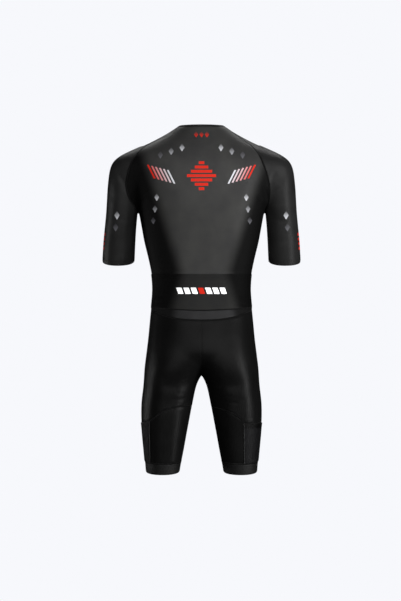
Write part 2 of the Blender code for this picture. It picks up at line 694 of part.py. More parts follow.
def edges_pulled_in(points, quads, outward, distance):
    """The points with each open edge drawn back into the piece by a distance."""
    runs = {}
    for quad in quads:
        for start, end in zip(quad, quad[1:] + quad[:1]):
            if (end, start) in runs:
                del runs[(end, start)]
            else:
                runs[(start, end)] = True
    inward = {}
    for start, end in runs:
        run = points[end] - points[start]
        run /= np.linalg.norm(run)
        for point in (start, end):
            across = np.cross(outward[point], run)
            inward.setdefault(point, []).append(across / np.linalg.norm(across))
    moved = points.copy()
    for point, ways in inward.items():
        total = np.sum(ways, axis=0) / len(ways)
        moved[point] += distance * total / max(total @ total, 0.35)
    return moved, list(runs)


def material(name):
    colour, roughness, metallic = FINISHES[name]
    made = bpy.data.materials.get(name)
    if made is None:
        made = bpy.data.materials.new(name)
        made.use_nodes = True
        shader = made.node_tree.nodes["Principled BSDF"]
        shader.inputs["Base Color"].default_value = (*colour, 1)
        shader.inputs["Roughness"].default_value = roughness
        shader.inputs["Metallic"].default_value = metallic
    return made


def put(name, mesh, finish, collection):
    """A new object for a mesh, with its finish."""
    made = bpy.data.objects.new(name, mesh)
    made.data.materials.clear()
    made.data.materials.append(material(finish))
    collection.objects.link(made)
    return made


def cloth(name, nets, finish, collection, wall=WALL, lift=0.0, mouth=0.0):
    """A walled piece on its nets. Lift moves it out, and mouth moves its first row out further."""
    points, quads = net_mesh(nets)
    outward, _ = normals(form, points)
    quads = facing_out(points, quads, outward)
    outer, edges = edges_pulled_in(points, quads, outward, SEAM_GAP / 2)
    if lift:
        outer = outer + (lift + wall) * outward
    if mouth:
        row = len(nets[0][0])
        outer[:row] += mouth * outward[:row]
    inner = outer - wall * outward
    count = len(points)
    faces = triangles_of(points, quads)
    faces += [(c + count, b + count, a + count) for a, b, c in faces]
    for start, end in edges:
        # The same corner starts the diagonal on both sides of a seam, so that twisted walls match.
        first = points[start] @ SLANT > points[end] @ SLANT
        across = (start, end + count) if first else (end, start + count)
        faces += [(end, start, across[1]), (start + count, end + count, across[0])]
    mesh = bpy.data.meshes.new(name)
    mesh.from_pydata(np.vstack([outer, inner]).tolist(), [], faces)
    mesh.shade_smooth()
    return put(name, mesh, finish, collection)


def rounded_outline(width, length, corner, centre):
    """The points of a rectangle with round corners."""
    points = []
    for quarter, (sign_x, sign_y) in enumerate(((1, 1), (-1, 1), (-1, -1), (1, -1))):
        for step in range(CORNER_STEPS + 1):
            angle = math.radians(90 * (quarter + step / CORNER_STEPS))
            across = sign_x * (width / 2 - corner) + corner * math.cos(angle)
            along = centre + sign_y * (length / 2 - corner) + corner * math.sin(angle)
            points.append((across, along))
    return points


def flat_shape(name, outlines, thickness):
    """A flat shape with the first outline round it and the others cut out, as a mesh."""
    curve = bpy.data.curves.new(name, "CURVE")
    curve.dimensions = "2D"
    curve.fill_mode = "BOTH"
    curve.extrude = thickness / 2
    for outline in outlines:
        spline = curve.splines.new("POLY")
        spline.points.add(len(outline) - 1)
        spline.use_cyclic_u = True
        for point, (across, along) in zip(spline.points, outline):
            point.co = (across, along, 0, 1)
    drawn = bpy.data.objects.new(name, curve)
    bpy.context.scene.collection.objects.link(drawn)
    graph = bpy.context.evaluated_depsgraph_get()
    mesh = bpy.data.meshes.new_from_object(drawn.evaluated_get(graph))
    bpy.data.objects.remove(drawn)
    shape = bmesh.new()
    shape.from_mesh(mesh)
    bmesh.ops.remove_doubles(shape, verts=shape.verts, dist=1e-6)
    shape.to_mesh(mesh)
    shape.free()
    return mesh


def slider_frame(tape_edge):
    """Where the slider sits: its place on the zip, the way up along it and the way out."""
    reach = np.cumsum(np.linalg.norm(np.diff(tape_edge, axis=0), axis=1))
    row = int(np.searchsorted(reach, SLIDER_DROP))
    top, foot = tape_edge[row], tape_edge[row + 1]
    upward = (tape_edge[max(row - 1, 0)] - tape_edge[row + 1]) * (0, 1, 1)
    upward /= np.linalg.norm(upward)
    outward = np.cross((1.0, 0, 0), upward)
    place = (top + foot) / 2 * (0, 1, 1)
    return place, upward, outward


def placed(mesh, place, upward, outward):
    """A mesh drawn with X across, Y up the zip and Z out of the cloth, put in its place."""
    across = np.cross(upward, outward)
    turn = np.stack([across, upward, outward], axis=1)
    for vertex in mesh.vertices:
        vertex.co = place + turn @ np.array(vertex.co)
    return mesh


def zip_slider(place, upward, outward, collection, cutters):
    """A bevelled body with a bridge over it, one solid."""
    bpy.ops.mesh.primitive_cube_add(size=1)
    body = bpy.context.object
    body.name = "zip_slider"
    for vertex in body.data.vertices:
        vertex.co.x *= SLIDER_WIDTH
        vertex.co.y *= SLIDER_LENGTH
        vertex.co.z = (vertex.co.z - 0.5) * SLIDER_DEPTH
    placed(body.data, place, upward, outward)
    bevel = body.modifiers.new("round_edges", "BEVEL")
    bevel.width = SLIDER_CORNER
    bevel.segments = 2
    full, inside = BRIDGE_HEIGHT + BRIDGE_ROOT, BRIDGE_HEIGHT - BRIDGE_BAR
    outline = rounded_outline(BRIDGE_LENGTH, full, BRIDGE_CORNER, (BRIDGE_HEIGHT - BRIDGE_ROOT) / 2)
    opening = rounded_outline(BRIDGE_LENGTH - 2 * BRIDGE_BAR, inside, BRIDGE_CORNER / 2, inside / 2)
    arch = flat_shape("slider_bridge", [outline, opening], BRIDGE_WIDTH)
    for vertex in arch.vertices:
        along, out, across = vertex.co
        vertex.co = (across, along, out)
    placed(arch, place, upward, outward)
    bridge = bpy.data.objects.new("slider_bridge", arch)
    bridge.hide_render = True
    bridge.display_type = "WIRE"
    cutters.objects.link(bridge)
    union = body.modifiers.new("bridge", "BOOLEAN")
    union.operation = "UNION"
    union.object = bridge
    for owner in list(body.users_collection):
        owner.objects.unlink(body)
    collection.objects.link(body)
    body.data.materials.append(material("black_enamelled_zinc"))
    return body


def zip_pull(place, upward, outward, collection):
    """A flat tab with a slot, whose top bar passes under the bridge."""
    centre = PULL_BAR / 2 - PULL_LENGTH / 2
    frame = rounded_outline(PULL_WIDTH, PULL_LENGTH, PULL_CORNER, centre)
    slot_centre = -PULL_BAR / 2 - PULL_SLOT_LENGTH / 2
    slot = rounded_outline(PULL_SLOT_WIDTH, PULL_SLOT_LENGTH, PULL_SLOT_CORNER, slot_centre)
    hole = rounded_outline(PULL_HOLE_WIDTH, PULL_HOLE_LENGTH, PULL_HOLE_WIDTH / 2, PULL_HOLE_CENTRE)
    mesh = flat_shape("zip_pull", [frame, slot, hole], PULL_THICKNESS)
    placed(mesh, place, upward, outward)
    return put("zip_pull", mesh, "black_enamelled_zinc", collection)


def main():
    for old in list(bpy.data.objects):
        bpy.data.objects.remove(old)
    suit = bpy.data.collections.new("triathlon_suit")
    cutters = bpy.data.collections.new("cutters")
    bpy.context.scene.collection.children.link(suit)
    bpy.context.scene.collection.children.link(cutters)
    cutters.hide_render = True

    left, right = half_suit(1), half_suit(-1)
    across = {}
    for name in ("neck_back", "pocket_line", "waist_back", "yoke_line"):
        across[name] = joined(left[name][::-1], right[name])
    upper = patch(across["neck_back"], across["pocket_line"], left["side_back"], right["side_back"])
    lower = patch(across["pocket_line"], across["waist_back"], left["side_low"], right["side_low"])
    yoke = patch(across["waist_back"], across["yoke_line"], left["yoke_side"], right["yoke_side"])
    binding = np.concatenate([left["binding"][:, ::-1], right["binding"][:, 1:]], axis=1)

    cloth("back_bodice", [np.vstack([upper, lower[1:]])], "black_lycra", suit)
    cloth("rear_pocket", [lower], "black_lycra", suit, lift=SEAM_GAP, mouth=POCKET_EASE)
    cloth("back_yoke", [yoke], "black_mesh_lycra", suit)
    cloth("neck_binding", [binding], "black_binding", suit, wall=BINDING_WALL)
    for word, half in (("left", left), ("right", right)):
        cloth(f"front_bodice_{word}", half["front_bodice"], "black_lycra", suit)
        cloth(f"sleeve_{word}", half["sleeve"], "black_lycra", suit)
        cloth(f"zip_tape_{word}", half["zip_tape"], "black_zip_tape", suit, wall=TAPE_WALL)
        cloth(f"shorts_back_{word}", half["shorts_back"], "black_lycra", suit)
        cloth(f"shorts_front_{word}", half["shorts_front"], "black_lycra", suit)
        cloth(f"thigh_panel_{word}", half["thigh_panel"], "black_lycra", suit)
        cloth(f"side_panel_{word}", half["side_panel"], "black_lycra", suit)
        side_net = half["side_panel"]
        lift = SEAM_GAP
        cloth(f"side_pocket_{word}", side_net, "black_mesh_lycra", suit, lift=lift, mouth=POCKET_EASE)
        cloth(f"leg_gripper_{word}", half["leg_gripper"], "black_gripper_band", suit)

    place, upward, outward = slider_frame(left["tape_edge"])
    face = place + (SEAM_GAP + SLIDER_DEPTH) * outward
    zip_slider(face, upward, outward, suit, cutters)
    axis = face + PULL_AXIS_HEIGHT * outward + PULL_AXIS_ALONG * upward
    zip_pull(axis, upward, outward, suit)


main()
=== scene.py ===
# Looks of a short-sleeved triathlon suit, filled out as it is worn, with nobody in it.
#
# Metres, +Z up. The front faces -Y and the wearer's left is +X. Each cut piece of the solid model is
# replaced by a thin shell of cloth on the same form, between the same seams, on a net FINER times as
# fine and with the small creases pressed in. Sewing and zip teeth follow the seams as repeated shapes.

import math

import bpy
import numpy as np
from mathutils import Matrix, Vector


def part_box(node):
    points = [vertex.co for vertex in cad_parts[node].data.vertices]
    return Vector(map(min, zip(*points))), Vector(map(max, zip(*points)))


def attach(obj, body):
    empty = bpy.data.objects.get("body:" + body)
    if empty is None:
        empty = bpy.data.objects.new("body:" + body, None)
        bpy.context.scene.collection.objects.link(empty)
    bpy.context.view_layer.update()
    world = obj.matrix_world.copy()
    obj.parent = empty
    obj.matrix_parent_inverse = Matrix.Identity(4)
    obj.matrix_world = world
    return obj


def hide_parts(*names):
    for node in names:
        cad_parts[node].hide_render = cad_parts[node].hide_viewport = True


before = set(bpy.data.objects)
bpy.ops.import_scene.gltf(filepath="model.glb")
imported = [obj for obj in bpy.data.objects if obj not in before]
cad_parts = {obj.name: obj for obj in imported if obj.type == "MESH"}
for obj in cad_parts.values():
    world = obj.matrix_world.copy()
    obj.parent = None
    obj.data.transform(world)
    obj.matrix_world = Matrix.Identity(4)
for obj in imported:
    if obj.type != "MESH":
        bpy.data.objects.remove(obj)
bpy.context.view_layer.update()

# Cloth and seams
WALL = 0.0014
SEAM_GAP = 0.0003
BINDING_WIDTH = 0.008
BINDING_WALL = 0.0022
POCKET_EASE = 0.0012

# Heights, all measured from the neck point down
NECK_TOP = 0.006
NECK_REACH = 0.066
NECK_FRONT_DROP = 0.051
NECK_DROP_POWER = 1.6
NECK_SIDE_ANGLE = 0.0
NECK_FRONT_ANGLE = -40.0
POCKET_TOP = -0.410
WAIST_SIDE = -0.5035
WAIST_BACK = -0.5105
WAIST_FRONT = -0.500
YOKE_SIDE = -0.5090
YOKE_BACK = -0.5390
CROTCH_RAY_HEIGHT = -0.600
THIGH_SEAM = -0.826
GRIPPER_TOP = -0.9325
GRIPPER_BACK_DROP = 0.006
LEG_HEM = -0.9615
LEG_HEM_BACK_DROP = 0.0085
SLEEVE_HEM = -0.3730
SLEEVE_HEM_BACK_DROP = 0.0140

UNDERARM = (0.179, -0.015, -0.190)
BELOW_UNDERARM = -0.262
BELOW_YOKE = -0.570
BELOW_CROTCH = -0.716
CROTCH_DEPTH = 0.010

# Sections of the trunk. Below the seat each one is a pair of lobes, one for each leg, whose centres
# stand apart by twice "centre" and which "bridge" rounds into one another.
# height, centre, half width, back, front, squareness, bridge
TRUNK = (
    (0.030, 0.0000, 0.0360, 0.050, -0.042, 2.00, 0.000),
    (0.010, 0.0000, 0.0560, 0.056, -0.049, 2.00, 0.000),
    (0.000, 0.0000, 0.0660, 0.060, -0.053, 2.00, 0.000),
    (-0.020, 0.0000, 0.1000, 0.068, -0.061, 2.00, 0.000),
    (-0.040, 0.0000, 0.1370, 0.078, -0.069, 2.00, 0.000),
    (-0.053, 0.0000, 0.1640, 0.084, -0.074, 2.00, 0.000),
    (-0.070, 0.0000, 0.2080, 0.091, -0.081, 2.00, 0.000),
    (-0.095, 0.0000, 0.2330, 0.100, -0.091, 2.10, 0.000),
    (-0.130, 0.0000, 0.2120, 0.107, -0.103, 2.20, 0.000),
    (-0.165, 0.0000, 0.1990, 0.110, -0.112, 2.30, 0.000),
    (-0.200, 0.0000, 0.1870, 0.110, -0.118, 2.35, 0.000),
    (-0.242, 0.0000, 0.1740, 0.107, -0.121, 2.40, 0.000),
    (-0.275, 0.0000, 0.1680, 0.103, -0.120, 2.40, 0.000),
    (-0.320, 0.0000, 0.1600, 0.097, -0.115, 2.40, 0.000),
    (-0.365, 0.0000, 0.1485, 0.090, -0.109, 2.40, 0.000),
    (-0.410, 0.0000, 0.1390, 0.085, -0.104, 2.40, 0.000),
    (-0.455, 0.0000, 0.1360, 0.083, -0.102, 2.40, 0.000),
    (-0.499, 0.0000, 0.1400, 0.087, -0.102, 2.40, 0.000),
    (-0.544, 0.0060, 0.1385, 0.097, -0.102, 2.35, 0.010),
    (-0.589, 0.0220, 0.1265, 0.108, -0.098, 2.30, 0.030),
    (-0.634, 0.0460, 0.1080, 0.114, -0.092, 2.20, 0.040),
    (-0.672, 0.0720, 0.0870, 0.110, -0.087, 2.10, 0.010),
    (-0.700, 0.0835, 0.0770, 0.103, -0.083, 2.10, 0.003),
    (-0.723, 0.0890, 0.0730, 0.098, -0.080, 2.10, 0.001),
    (-0.768, 0.0965, 0.0715, 0.090, -0.077, 2.10, 0.000),
    (-0.813, 0.1010, 0.0675, 0.082, -0.073, 2.10, 0.000),
    (-0.858, 0.1037, 0.0617, 0.073, -0.067, 2.10, 0.000),
    (-0.903, 0.1055, 0.0555, 0.064, -0.062, 2.10, 0.000),
    (-0.947, 0.1080, 0.0490, 0.056, -0.058, 2.10, 0.000),
    (-0.985, 0.1095, 0.0450, 0.052, -0.055, 2.10, 0.000),
)

# Sections of one arm. "blend" rounds the arm into the trunk.
# height, centre, depth, half width, half depth, squareness, blend
ARM = (
    (-0.050, 0.1640, 0.002, 0.0010, 0.001, 2.0, 0.000),
    (-0.062, 0.1780, 0.002, 0.0140, 0.016, 2.0, 0.006),
    (-0.074, 0.1880, 0.002, 0.0330, 0.034, 2.0, 0.014),
    (-0.085, 0.1950, 0.002, 0.0460, 0.047, 2.0, 0.020),
    (-0.102, 0.2010, 0.001, 0.0515, 0.053, 2.0, 0.026),
    (-0.119, 0.2050, 0.000, 0.0525, 0.055, 2.0, 0.030),
    (-0.164, 0.2125, -0.006, 0.0505, 0.057, 2.0, 0.034),
    (-0.205, 0.2190, -0.015, 0.0465, 0.056, 2.0, 0.022),
    (-0.237, 0.2235, -0.023, 0.0440, 0.054, 2.0, 0.007),
    (-0.275, 0.2275, -0.033, 0.0440, 0.0525, 2.0, 0.004),
    (-0.320, 0.2315, -0.046, 0.0450, 0.052, 2.0, 0.004),
    (-0.365, 0.2340, -0.059, 0.0453, 0.052, 2.0, 0.004),
    (-0.405, 0.2360, -0.070, 0.0453, 0.052, 2.0, 0.004),
)
# How far the sections' two ends are carried on, over how much height straight runs are eased into each
# other, the step of the fine scale, the thinnest oval and the least number to divide by
SPARE = 0.08
EASE = 0.012
STEP = 0.001
THIN = 1e-4
TINY = 1e-6

# The search for the form's face: the step that its slope is taken over, the rounds of moves towards it,
# the least growth of the field and the longest move in a round, and a ray's reach, step and halvings
SLOPE_STEP = 0.0004
NO_SLOPE = 1e-9
SETTLE_ROUNDS = 8
LEAST_GROWTH = 0.3
LONGEST_MOVE = 0.012
RAY_REACH = 0.45
RAY_STEP = 0.002
RAY_HALVINGS = 16

# Raglan seams, as seen from behind and from the front
# height, how far out on the left, how far out on the right
RAGLAN_BACK = (
    (-0.033, 0.1180, 0.1100),
    (-0.047, 0.1460, 0.1320),
    (-0.070, 0.1750, 0.1540),
    (-0.101, 0.1950, 0.1700),
    (-0.129, 0.2050, 0.1810),
    (-0.157, 0.2100, 0.1880),
    (-0.192, 0.2040, 0.1900),
    (-0.218, 0.1900, 0.1870),
)
RAGLAN_FRONT = [
    (height, out, out)
    for height, out in (
        (-0.060, 0.1080),
        (-0.090, 0.1370),
        (-0.125, 0.1580),
        (-0.160, 0.1720),
        (-0.195, 0.1790),
        (-0.218, 0.1800),
    )
]

# The yoke's lower seam: how far out, height
YOKE = (
    (0.000, -0.5390),
    (0.048, -0.5368),
    (0.092, -0.5300),
    (0.120, -0.5200),
)

# The curved thigh seams: how far out and height on the left leg, then the same on the right
THIGH_BACK = (
    (0.1440, -0.8200, 0.1175, -0.8256),
    (0.1266, -0.8066, 0.1086, -0.8110),
    (0.0994, -0.7870, 0.0840, -0.7960),
    (0.0640, -0.7780, 0.0600, -0.7870),
)
THIGH_FRONT = [
    place * 2 for place in ((0.1400, -0.8230), (0.1150, -0.8060), (0.0850, -0.7930), (0.0550, -0.7820))
]
THIGH_INNER = -0.774

# The ring where the sleeve becomes a tube: degrees round the arm, height
ARMHOLE_RING = (
    (140, -0.247),
    (90, -0.252),
    (45, -0.248),
    (0, -0.244),
    (-45, -0.241),
    (-90, -0.240),
    (-140, -0.241),
)

# How far out the side panel's seams meet the gripper band, on the left (1) and the right (-1) leg
SIDE_SEAM_BACK_FOOT = {1: 0.1425, -1: 0.1190}
SIDE_SEAM_FRONT_FOOT = {1: 0.1370, -1: 0.1370}

# Soft troughs (depth above 0) and ridges (below 0), each on a line from one point to another, as
# seen from behind (face 1) or from the front (face -1). Every fold is on both sides of the suit.
# face, out, height, to out, to height, width, depth
FOLDS = (
    (1, 0.207, -0.162, 0.238, -0.114, 0.020, 0.0026),
    (1, 0.226, -0.162, 0.250, -0.134, 0.020, -0.0014),
    (1, 0.172, -0.212, 0.142, -0.164, 0.022, 0.0026),
    (-1, 0.172, -0.204, 0.132, -0.154, 0.024, 0.0030),
    (-1, 0.190, -0.190, 0.214, -0.136, 0.020, 0.0022),
    (1, 0.034, -0.756, 0.110, -0.767, 0.020, 0.0024),
    (1, 0.035, -0.706, 0.115, -0.722, 0.024, 0.0034),
    (-1, 0.020, -0.704, 0.090, -0.664, 0.022, 0.0030),
    (-1, 0.030, -0.742, 0.090, -0.720, 0.020, 0.0022),
    (1, 0.128, -0.445, 0.060, -0.456, 0.022, 0.0018),
)

# Along a fold: the share of its length at which its depth stops falling, and how full the swell between
# is. Across a fine crease: how high its ridges stand, how slowly it fades, and in how many widths it ends.
FOLD_END = 0.04
FOLD_SWELL = 0.6
CREASE_RIDGE = 0.8
CREASE_FALL = 1.6
CREASE_REACH = 4

# Net sizes: how many quads lie along each stretch of seam
BODY_COLUMNS = 10
SLEEVE_COLUMNS = 18
RAGLAN_ROWS = 15
SIDE_ROWS = 10
POCKET_ROWS = 6
SLEEVE_ROWS = 8
YOKE_ROWS = 2
SEAT_ROWS = 12
INSEAM_ROWS = 5
POCKET_SIDE_COLUMNS = 3
THIGH_ROWS = 6
GRIPPER_ROWS = 2
TAPE_COLUMNS = 3
BINDING_COLUMNS = 2
UNDERARM_CROWD = 0.45
RELAX_ROUNDS = 16

# How many places on the form each stretch of seam runs through
SIDE_ANCHORS = 6
SHORT_ANCHORS = 5
WAIST_ANCHORS = 13
ZIP_ANCHORS = 20
HEM_ANCHORS = 37
RISE_ANCHORS = 7
INNER_ANCHORS = 4
OUTER_ANCHORS = 8
STRIP_ANCHORS = 7
STRAIGHT_ANCHORS = 8

# Zip
ZIP_HALF_WIDTH = 0.006
ZIP_HALF_OPENING = 0.0008
TAPE_WALL = 0.0012

# The visible cloth: how much finer it is than the solids, its rolled edges, its stretch as worn, the
# least size of a cut piece, and the mouth of a pocket, which stands open
FINER = 5
FINE_ROUNDS = 3
EDGE_ROLL = 0.0007
CUT_STRETCH = 1.06
LEAST_CUT = 0.0101
SHARP_ANGLE = 50.0
MOUTH_REACH = 0.014
MOUTH_ROUND = 0.4
WELD_DIGITS = 6

# Fine creases, as the folds above but with a side of their own: 1 is the wearer's left, -1 the right
# side, face, out, height, to out, to height, width, depth
CREASES = (
    # Fans of creases that run from the armpits up over the sleeves and in over the shoulder blades
    (1, 1, 0.212, -0.164, 0.234, -0.126, 0.0070, 0.0013),
    (1, 1, 0.206, -0.176, 0.250, -0.150, 0.0080, 0.0010),
    (1, 1, 0.216, -0.205, 0.256, -0.192, 0.0090, 0.0007),
    (1, 1, 0.192, -0.208, 0.176, -0.150, 0.0075, 0.0012),
    (1, 1, 0.178, -0.222, 0.146, -0.178, 0.0085, 0.0013),
    (1, 1, 0.174, -0.240, 0.138, -0.216, 0.0080, 0.0009),
    (1, 1, 0.166, -0.272, 0.128, -0.262, 0.0095, 0.0007),
    (-1, 1, 0.190, -0.158, 0.209, -0.126, 0.0070, 0.0014),
    (-1, 1, 0.200, -0.182, 0.240, -0.160, 0.0080, 0.0009),
    (-1, 1, 0.214, -0.214, 0.252, -0.206, 0.0090, 0.0007),
    (-1, 1, 0.186, -0.206, 0.166, -0.158, 0.0075, 0.0012),
    (-1, 1, 0.178, -0.226, 0.150, -0.190, 0.0080, 0.0012),
    (-1, 1, 0.172, -0.246, 0.130, -0.230, 0.0085, 0.0008),
    # Crooks of the elbows, where the sleeve bends forward
    (1, 1, 0.205, -0.262, 0.240, -0.254, 0.0090, 0.0008),
    (1, 1, 0.212, -0.310, 0.250, -0.318, 0.0100, 0.0006),
    (-1, 1, 0.206, -0.256, 0.238, -0.266, 0.0090, 0.0007),
    (-1, 1, 0.214, -0.322, 0.250, -0.312, 0.0100, 0.0006),
    # Waist, where the trunk bends, and the slack of the rear pocket
    (1, 1, 0.134, -0.402, 0.086, -0.398, 0.0080, 0.0007),
    (1, 1, 0.130, -0.470, 0.078, -0.478, 0.0085, 0.0009),
    (1, 1, 0.128, -0.492, 0.092, -0.486, 0.0060, 0.0007),
    (-1, 1, 0.132, -0.396, 0.092, -0.404, 0.0080, 0.0007),
    (-1, 1, 0.110, -0.434, 0.084, -0.436, 0.0050, 0.0007),
    (-1, 1, 0.130, -0.466, 0.088, -0.474, 0.0085, 0.0008),
    (-1, 1, 0.130, -0.500, 0.102, -0.494, 0.0050, 0.0010),
    # Seat: the edge of the saddle pad in low relief, and the creases below it
    (1, 1, 0.034, -0.696, 0.058, -0.706, 0.0035, 0.0006),
    (1, 1, 0.058, -0.706, 0.071, -0.723, 0.0035, 0.0008),
    (1, 1, 0.071, -0.723, 0.066, -0.740, 0.0040, 0.0008),
    (1, 1, 0.066, -0.741, 0.030, -0.743, 0.0040, 0.0006),
    (1, 1, 0.061, -0.782, 0.028, -0.753, 0.0045, 0.0008),
    (1, 1, 0.080, -0.758, 0.040, -0.755, 0.0045, 0.0005),
    (1, 1, 0.050, -0.726, 0.116, -0.716, 0.0130, 0.0005),
    (1, 1, 0.100, -0.690, 0.134, -0.704, 0.0110, 0.0005),
    (-1, 1, 0.023, -0.701, 0.045, -0.713, 0.0035, 0.0006),
    (-1, 1, 0.045, -0.713, 0.057, -0.730, 0.0035, 0.0008),
    (-1, 1, 0.057, -0.730, 0.040, -0.744, 0.0040, 0.0008),
    (-1, 1, 0.036, -0.752, 0.086, -0.748, 0.0050, 0.0007),
    (-1, 1, 0.038, -0.761, 0.098, -0.768, 0.0045, 0.0011),
    (-1, 1, 0.042, -0.779, 0.100, -0.785, 0.0045, 0.0007),
    (-1, 1, 0.108, -0.760, 0.152, -0.753, 0.0050, 0.0009),
    (-1, 1, 0.063, -0.793, 0.082, -0.793, 0.0030, 0.0009),
    (-1, 1, 0.050, -0.722, 0.104, -0.716, 0.0120, 0.0005),
    # Front: chest beside the zip, below the armpits, belly and the fan at the top of the legs
    (1, -1, 0.170, -0.216, 0.118, -0.180, 0.0085, 0.0013),
    (1, -1, 0.172, -0.236, 0.126, -0.226, 0.0080, 0.0009),
    (1, -1, 0.192, -0.200, 0.204, -0.150, 0.0075, 0.0012),
    (-1, -1, 0.172, -0.212, 0.124, -0.172, 0.0085, 0.0012),
    (-1, -1, 0.170, -0.240, 0.120, -0.234, 0.0080, 0.0009),
    (-1, -1, 0.190, -0.206, 0.208, -0.158, 0.0075, 0.0011),
    (1, -1, 0.016, -0.345, 0.070, -0.352, 0.0100, 0.0009),
    (-1, -1, 0.014, -0.372, 0.076, -0.364, 0.0100, 0.0009),
    (1, -1, 0.126, -0.420, 0.060, -0.434, 0.0090, 0.0011),
    (-1, -1, 0.128, -0.428, 0.066, -0.438, 0.0090, 0.0010),
    (1, -1, 0.120, -0.462, 0.040, -0.470, 0.0100, 0.0009),
    (-1, -1, 0.122, -0.470, 0.046, -0.474, 0.0100, 0.0009),
    (1, -1, 0.018, -0.690, 0.080, -0.648, 0.0080, 0.0014),
    (1, -1, 0.022, -0.716, 0.096, -0.688, 0.0080, 0.0012),
    (1, -1, 0.040, -0.752, 0.104, -0.738, 0.0080, 0.0009),
    (-1, -1, 0.016, -0.684, 0.074, -0.640, 0.0080, 0.0013),
    (-1, -1, 0.024, -0.712, 0.100, -0.682, 0.0080, 0.0012),
    (-1, -1, 0.040, -0.748, 0.100, -0.730, 0.0080, 0.0010),
)

# Sewing: how far the two needle rows of a seam stand apart, the thread, the length of a stitch and from
# stitch to stitch, the bed of loops under a flatlock, and how far in each row lies
FLATLOCK_GAP = 0.0042
COVER_GAP = 0.0048
THREAD = 0.00055
STITCH = 0.0024
PITCH = 0.0031
SEAM_LIFT = 0.0001
BED_LOOPS = 3
BED_SLANT = 0.35
BED_WIDTH = 0.0062
BED_OVERLAP = 1.3
PIPING = 0.0007
CORD_SIDES = 8
HEM_STITCH_UP = 0.013
POCKET_BAND = 0.0135
TOPSTITCH_IN = 0.0022

# Zip chain
TOOTH_PITCH = 0.0018
TOOTH_WIDTH = 0.0021
TOOTH_LENGTH = 0.0008
TOOTH_HEIGHT = 0.0012
SHORTEST_COIL = 2


def mirrored(*rows):
    """Rows of printed shapes, each with its mirror image after it."""
    return [
        (shape, count, side * across, height, side * step, rise, wide, high, side * slant, *rest)
        for shape, count, across, height, step, rise, wide, high, slant, *rest in rows
        for side in (1, -1)
    ]


# Generic print on the back, as seen from behind: rows of like shapes, each a step from the last.
# A lozenge stands on its point and a bar leans by "slant". Each next shape is narrower by "taper".
# The ink runs from the first to the second.
# shape, count, across, height, step across, step height, half width, half height, slant, taper, inks
BACK_PRINT = (
    # Nape
    ("lozenge", 3, -0.0150, -0.0230, 0.0150, 0.0000, 0.0058, 0.0085, 0.0, 0.0, "red", "red"),
    # Middle of the upper back: a lozenge made of level bars, in two halves
    ("bar", 4, 0.0000, -0.1390, 0.0000, 0.0120, 0.0400, 0.0040, 0.0, 0.27, "red", "red"),
    ("bar", 3, 0.0000, -0.1510, 0.0000, -0.0120, 0.0292, 0.0040, 0.0, 0.37, "red", "red"),
    *mirrored(
        # Shoulder blades: leaning bars, grey by the spine and red by the sleeve
        ("bar", 6, 0.0840, -0.1420, 0.0110, 0.0030, 0.0024, 0.0190, -0.5, 0.0, "grey", "red"),
        # Lozenges that fade out towards the shoulders and down the flanks
        ("lozenge", 3, 0.0540, -0.0600, 0.0300, -0.0100, 0.0070, 0.0110, 0.0, 0.0, "grey", "dim"),
        ("lozenge", 3, 0.1240, -0.1980, 0.0050, -0.0320, 0.0065, 0.0105, 0.0, 0.0, "grey", "dim"),
    ),
)
POCKET_PRINT = (
    ("bar", 3, 0.0200, -0.4570, 0.0200, 0.0000, 0.0072, 0.0085, -0.35, 0.0, "white", "white"),
    ("bar", 1, 0.0000, -0.4570, 0.0200, 0.0000, 0.0072, 0.0085, -0.35, 0.0, "red", "red"),
    ("bar", 3, -0.0200, -0.4570, -0.0200, 0.0000, 0.0072, 0.0085, -0.35, 0.0, "white", "white"),
)
SLEEVE_PRINT = mirrored(
    ("lozenge", 2, 0.2360, -0.2460, 0.0040, -0.0330, 0.0075, 0.0120, 0.0, 0.0, "grey", "dim"),
)
# Bars up the outer side of each sleeve, by how far back they lie, and how far out that side starts
SLEEVE_SIDE_PRINT = (
    ("bar", 4, -0.0380, -0.2980, -0.0040, -0.0130, 0.0210, 0.0040, 0.0, 0.0, "red", "red"),
)
SIDE_PRINT_FROM = 0.262

# The black is not a printed ink. It paints the shade at the flanks, and it colours the mesh's pores and
# bound edge.
INKS = {"red": "#96180A", "white": "#E6E6E8", "grey": "#98999D", "dim": "#46464A", "black": "#030303"}

# The painted shade of the flanks, a fade of the ground colour to black: how far out it starts and ends at
# the waist, on each cloth. Its middle line stands FADE_ASIDE to the wearer's right. Above and below the
# waist the fade lies further out, by FADE_LEAN of the height between. Where it ends, the cloth is rougher by
# FLANK_DULLER.
FLANK_PAINTED_SHADE = (0.045, 0.088)
POCKET_PAINTED_SHADE = (0.038, 0.076)
YOKE_PAINTED_SHADE = (0.030, 0.058)
FADE_WAIST = 0.40
FADE_LEAN = 0.32
FADE_ASIDE = 0.008
FLANK_DULLER = 0.32

# Finishes: how far roughness wanders to either side and how its patches are drawn out upwards, the part
# of a noise that is used, and the knits' pitches and the depths of their relief
DULLER = 0.02
DULL_STREAK = 0.2
MOTTLE_DETAIL = 3.0
MOTTLE_LOW = 0.3
MOTTLE_HIGH = 0.7
SATIN_WALE = 0.0005
SATIN_COURSE = 0.0004
SATIN_RELIEF = 0.00002
SATIN_PATCH = 0.05
SATIN_DULL_PATCH = 0.012
SATIN_COURSE_SHARE = 0.4
MESH_PITCH = 0.0012
MESH_RELIEF = 0.00008
MESH_ROUGHNESS = 0.42
MESH_PATCH = 0.02
PORE_LEVEL = 0.35
THREAD_PATCH = 0.002
THREAD_LEVEL = 0.06
WEFT_SHARE = 0.3
PEEL_SIZE = 0.0004
PEEL_RELIEF = 0.00003

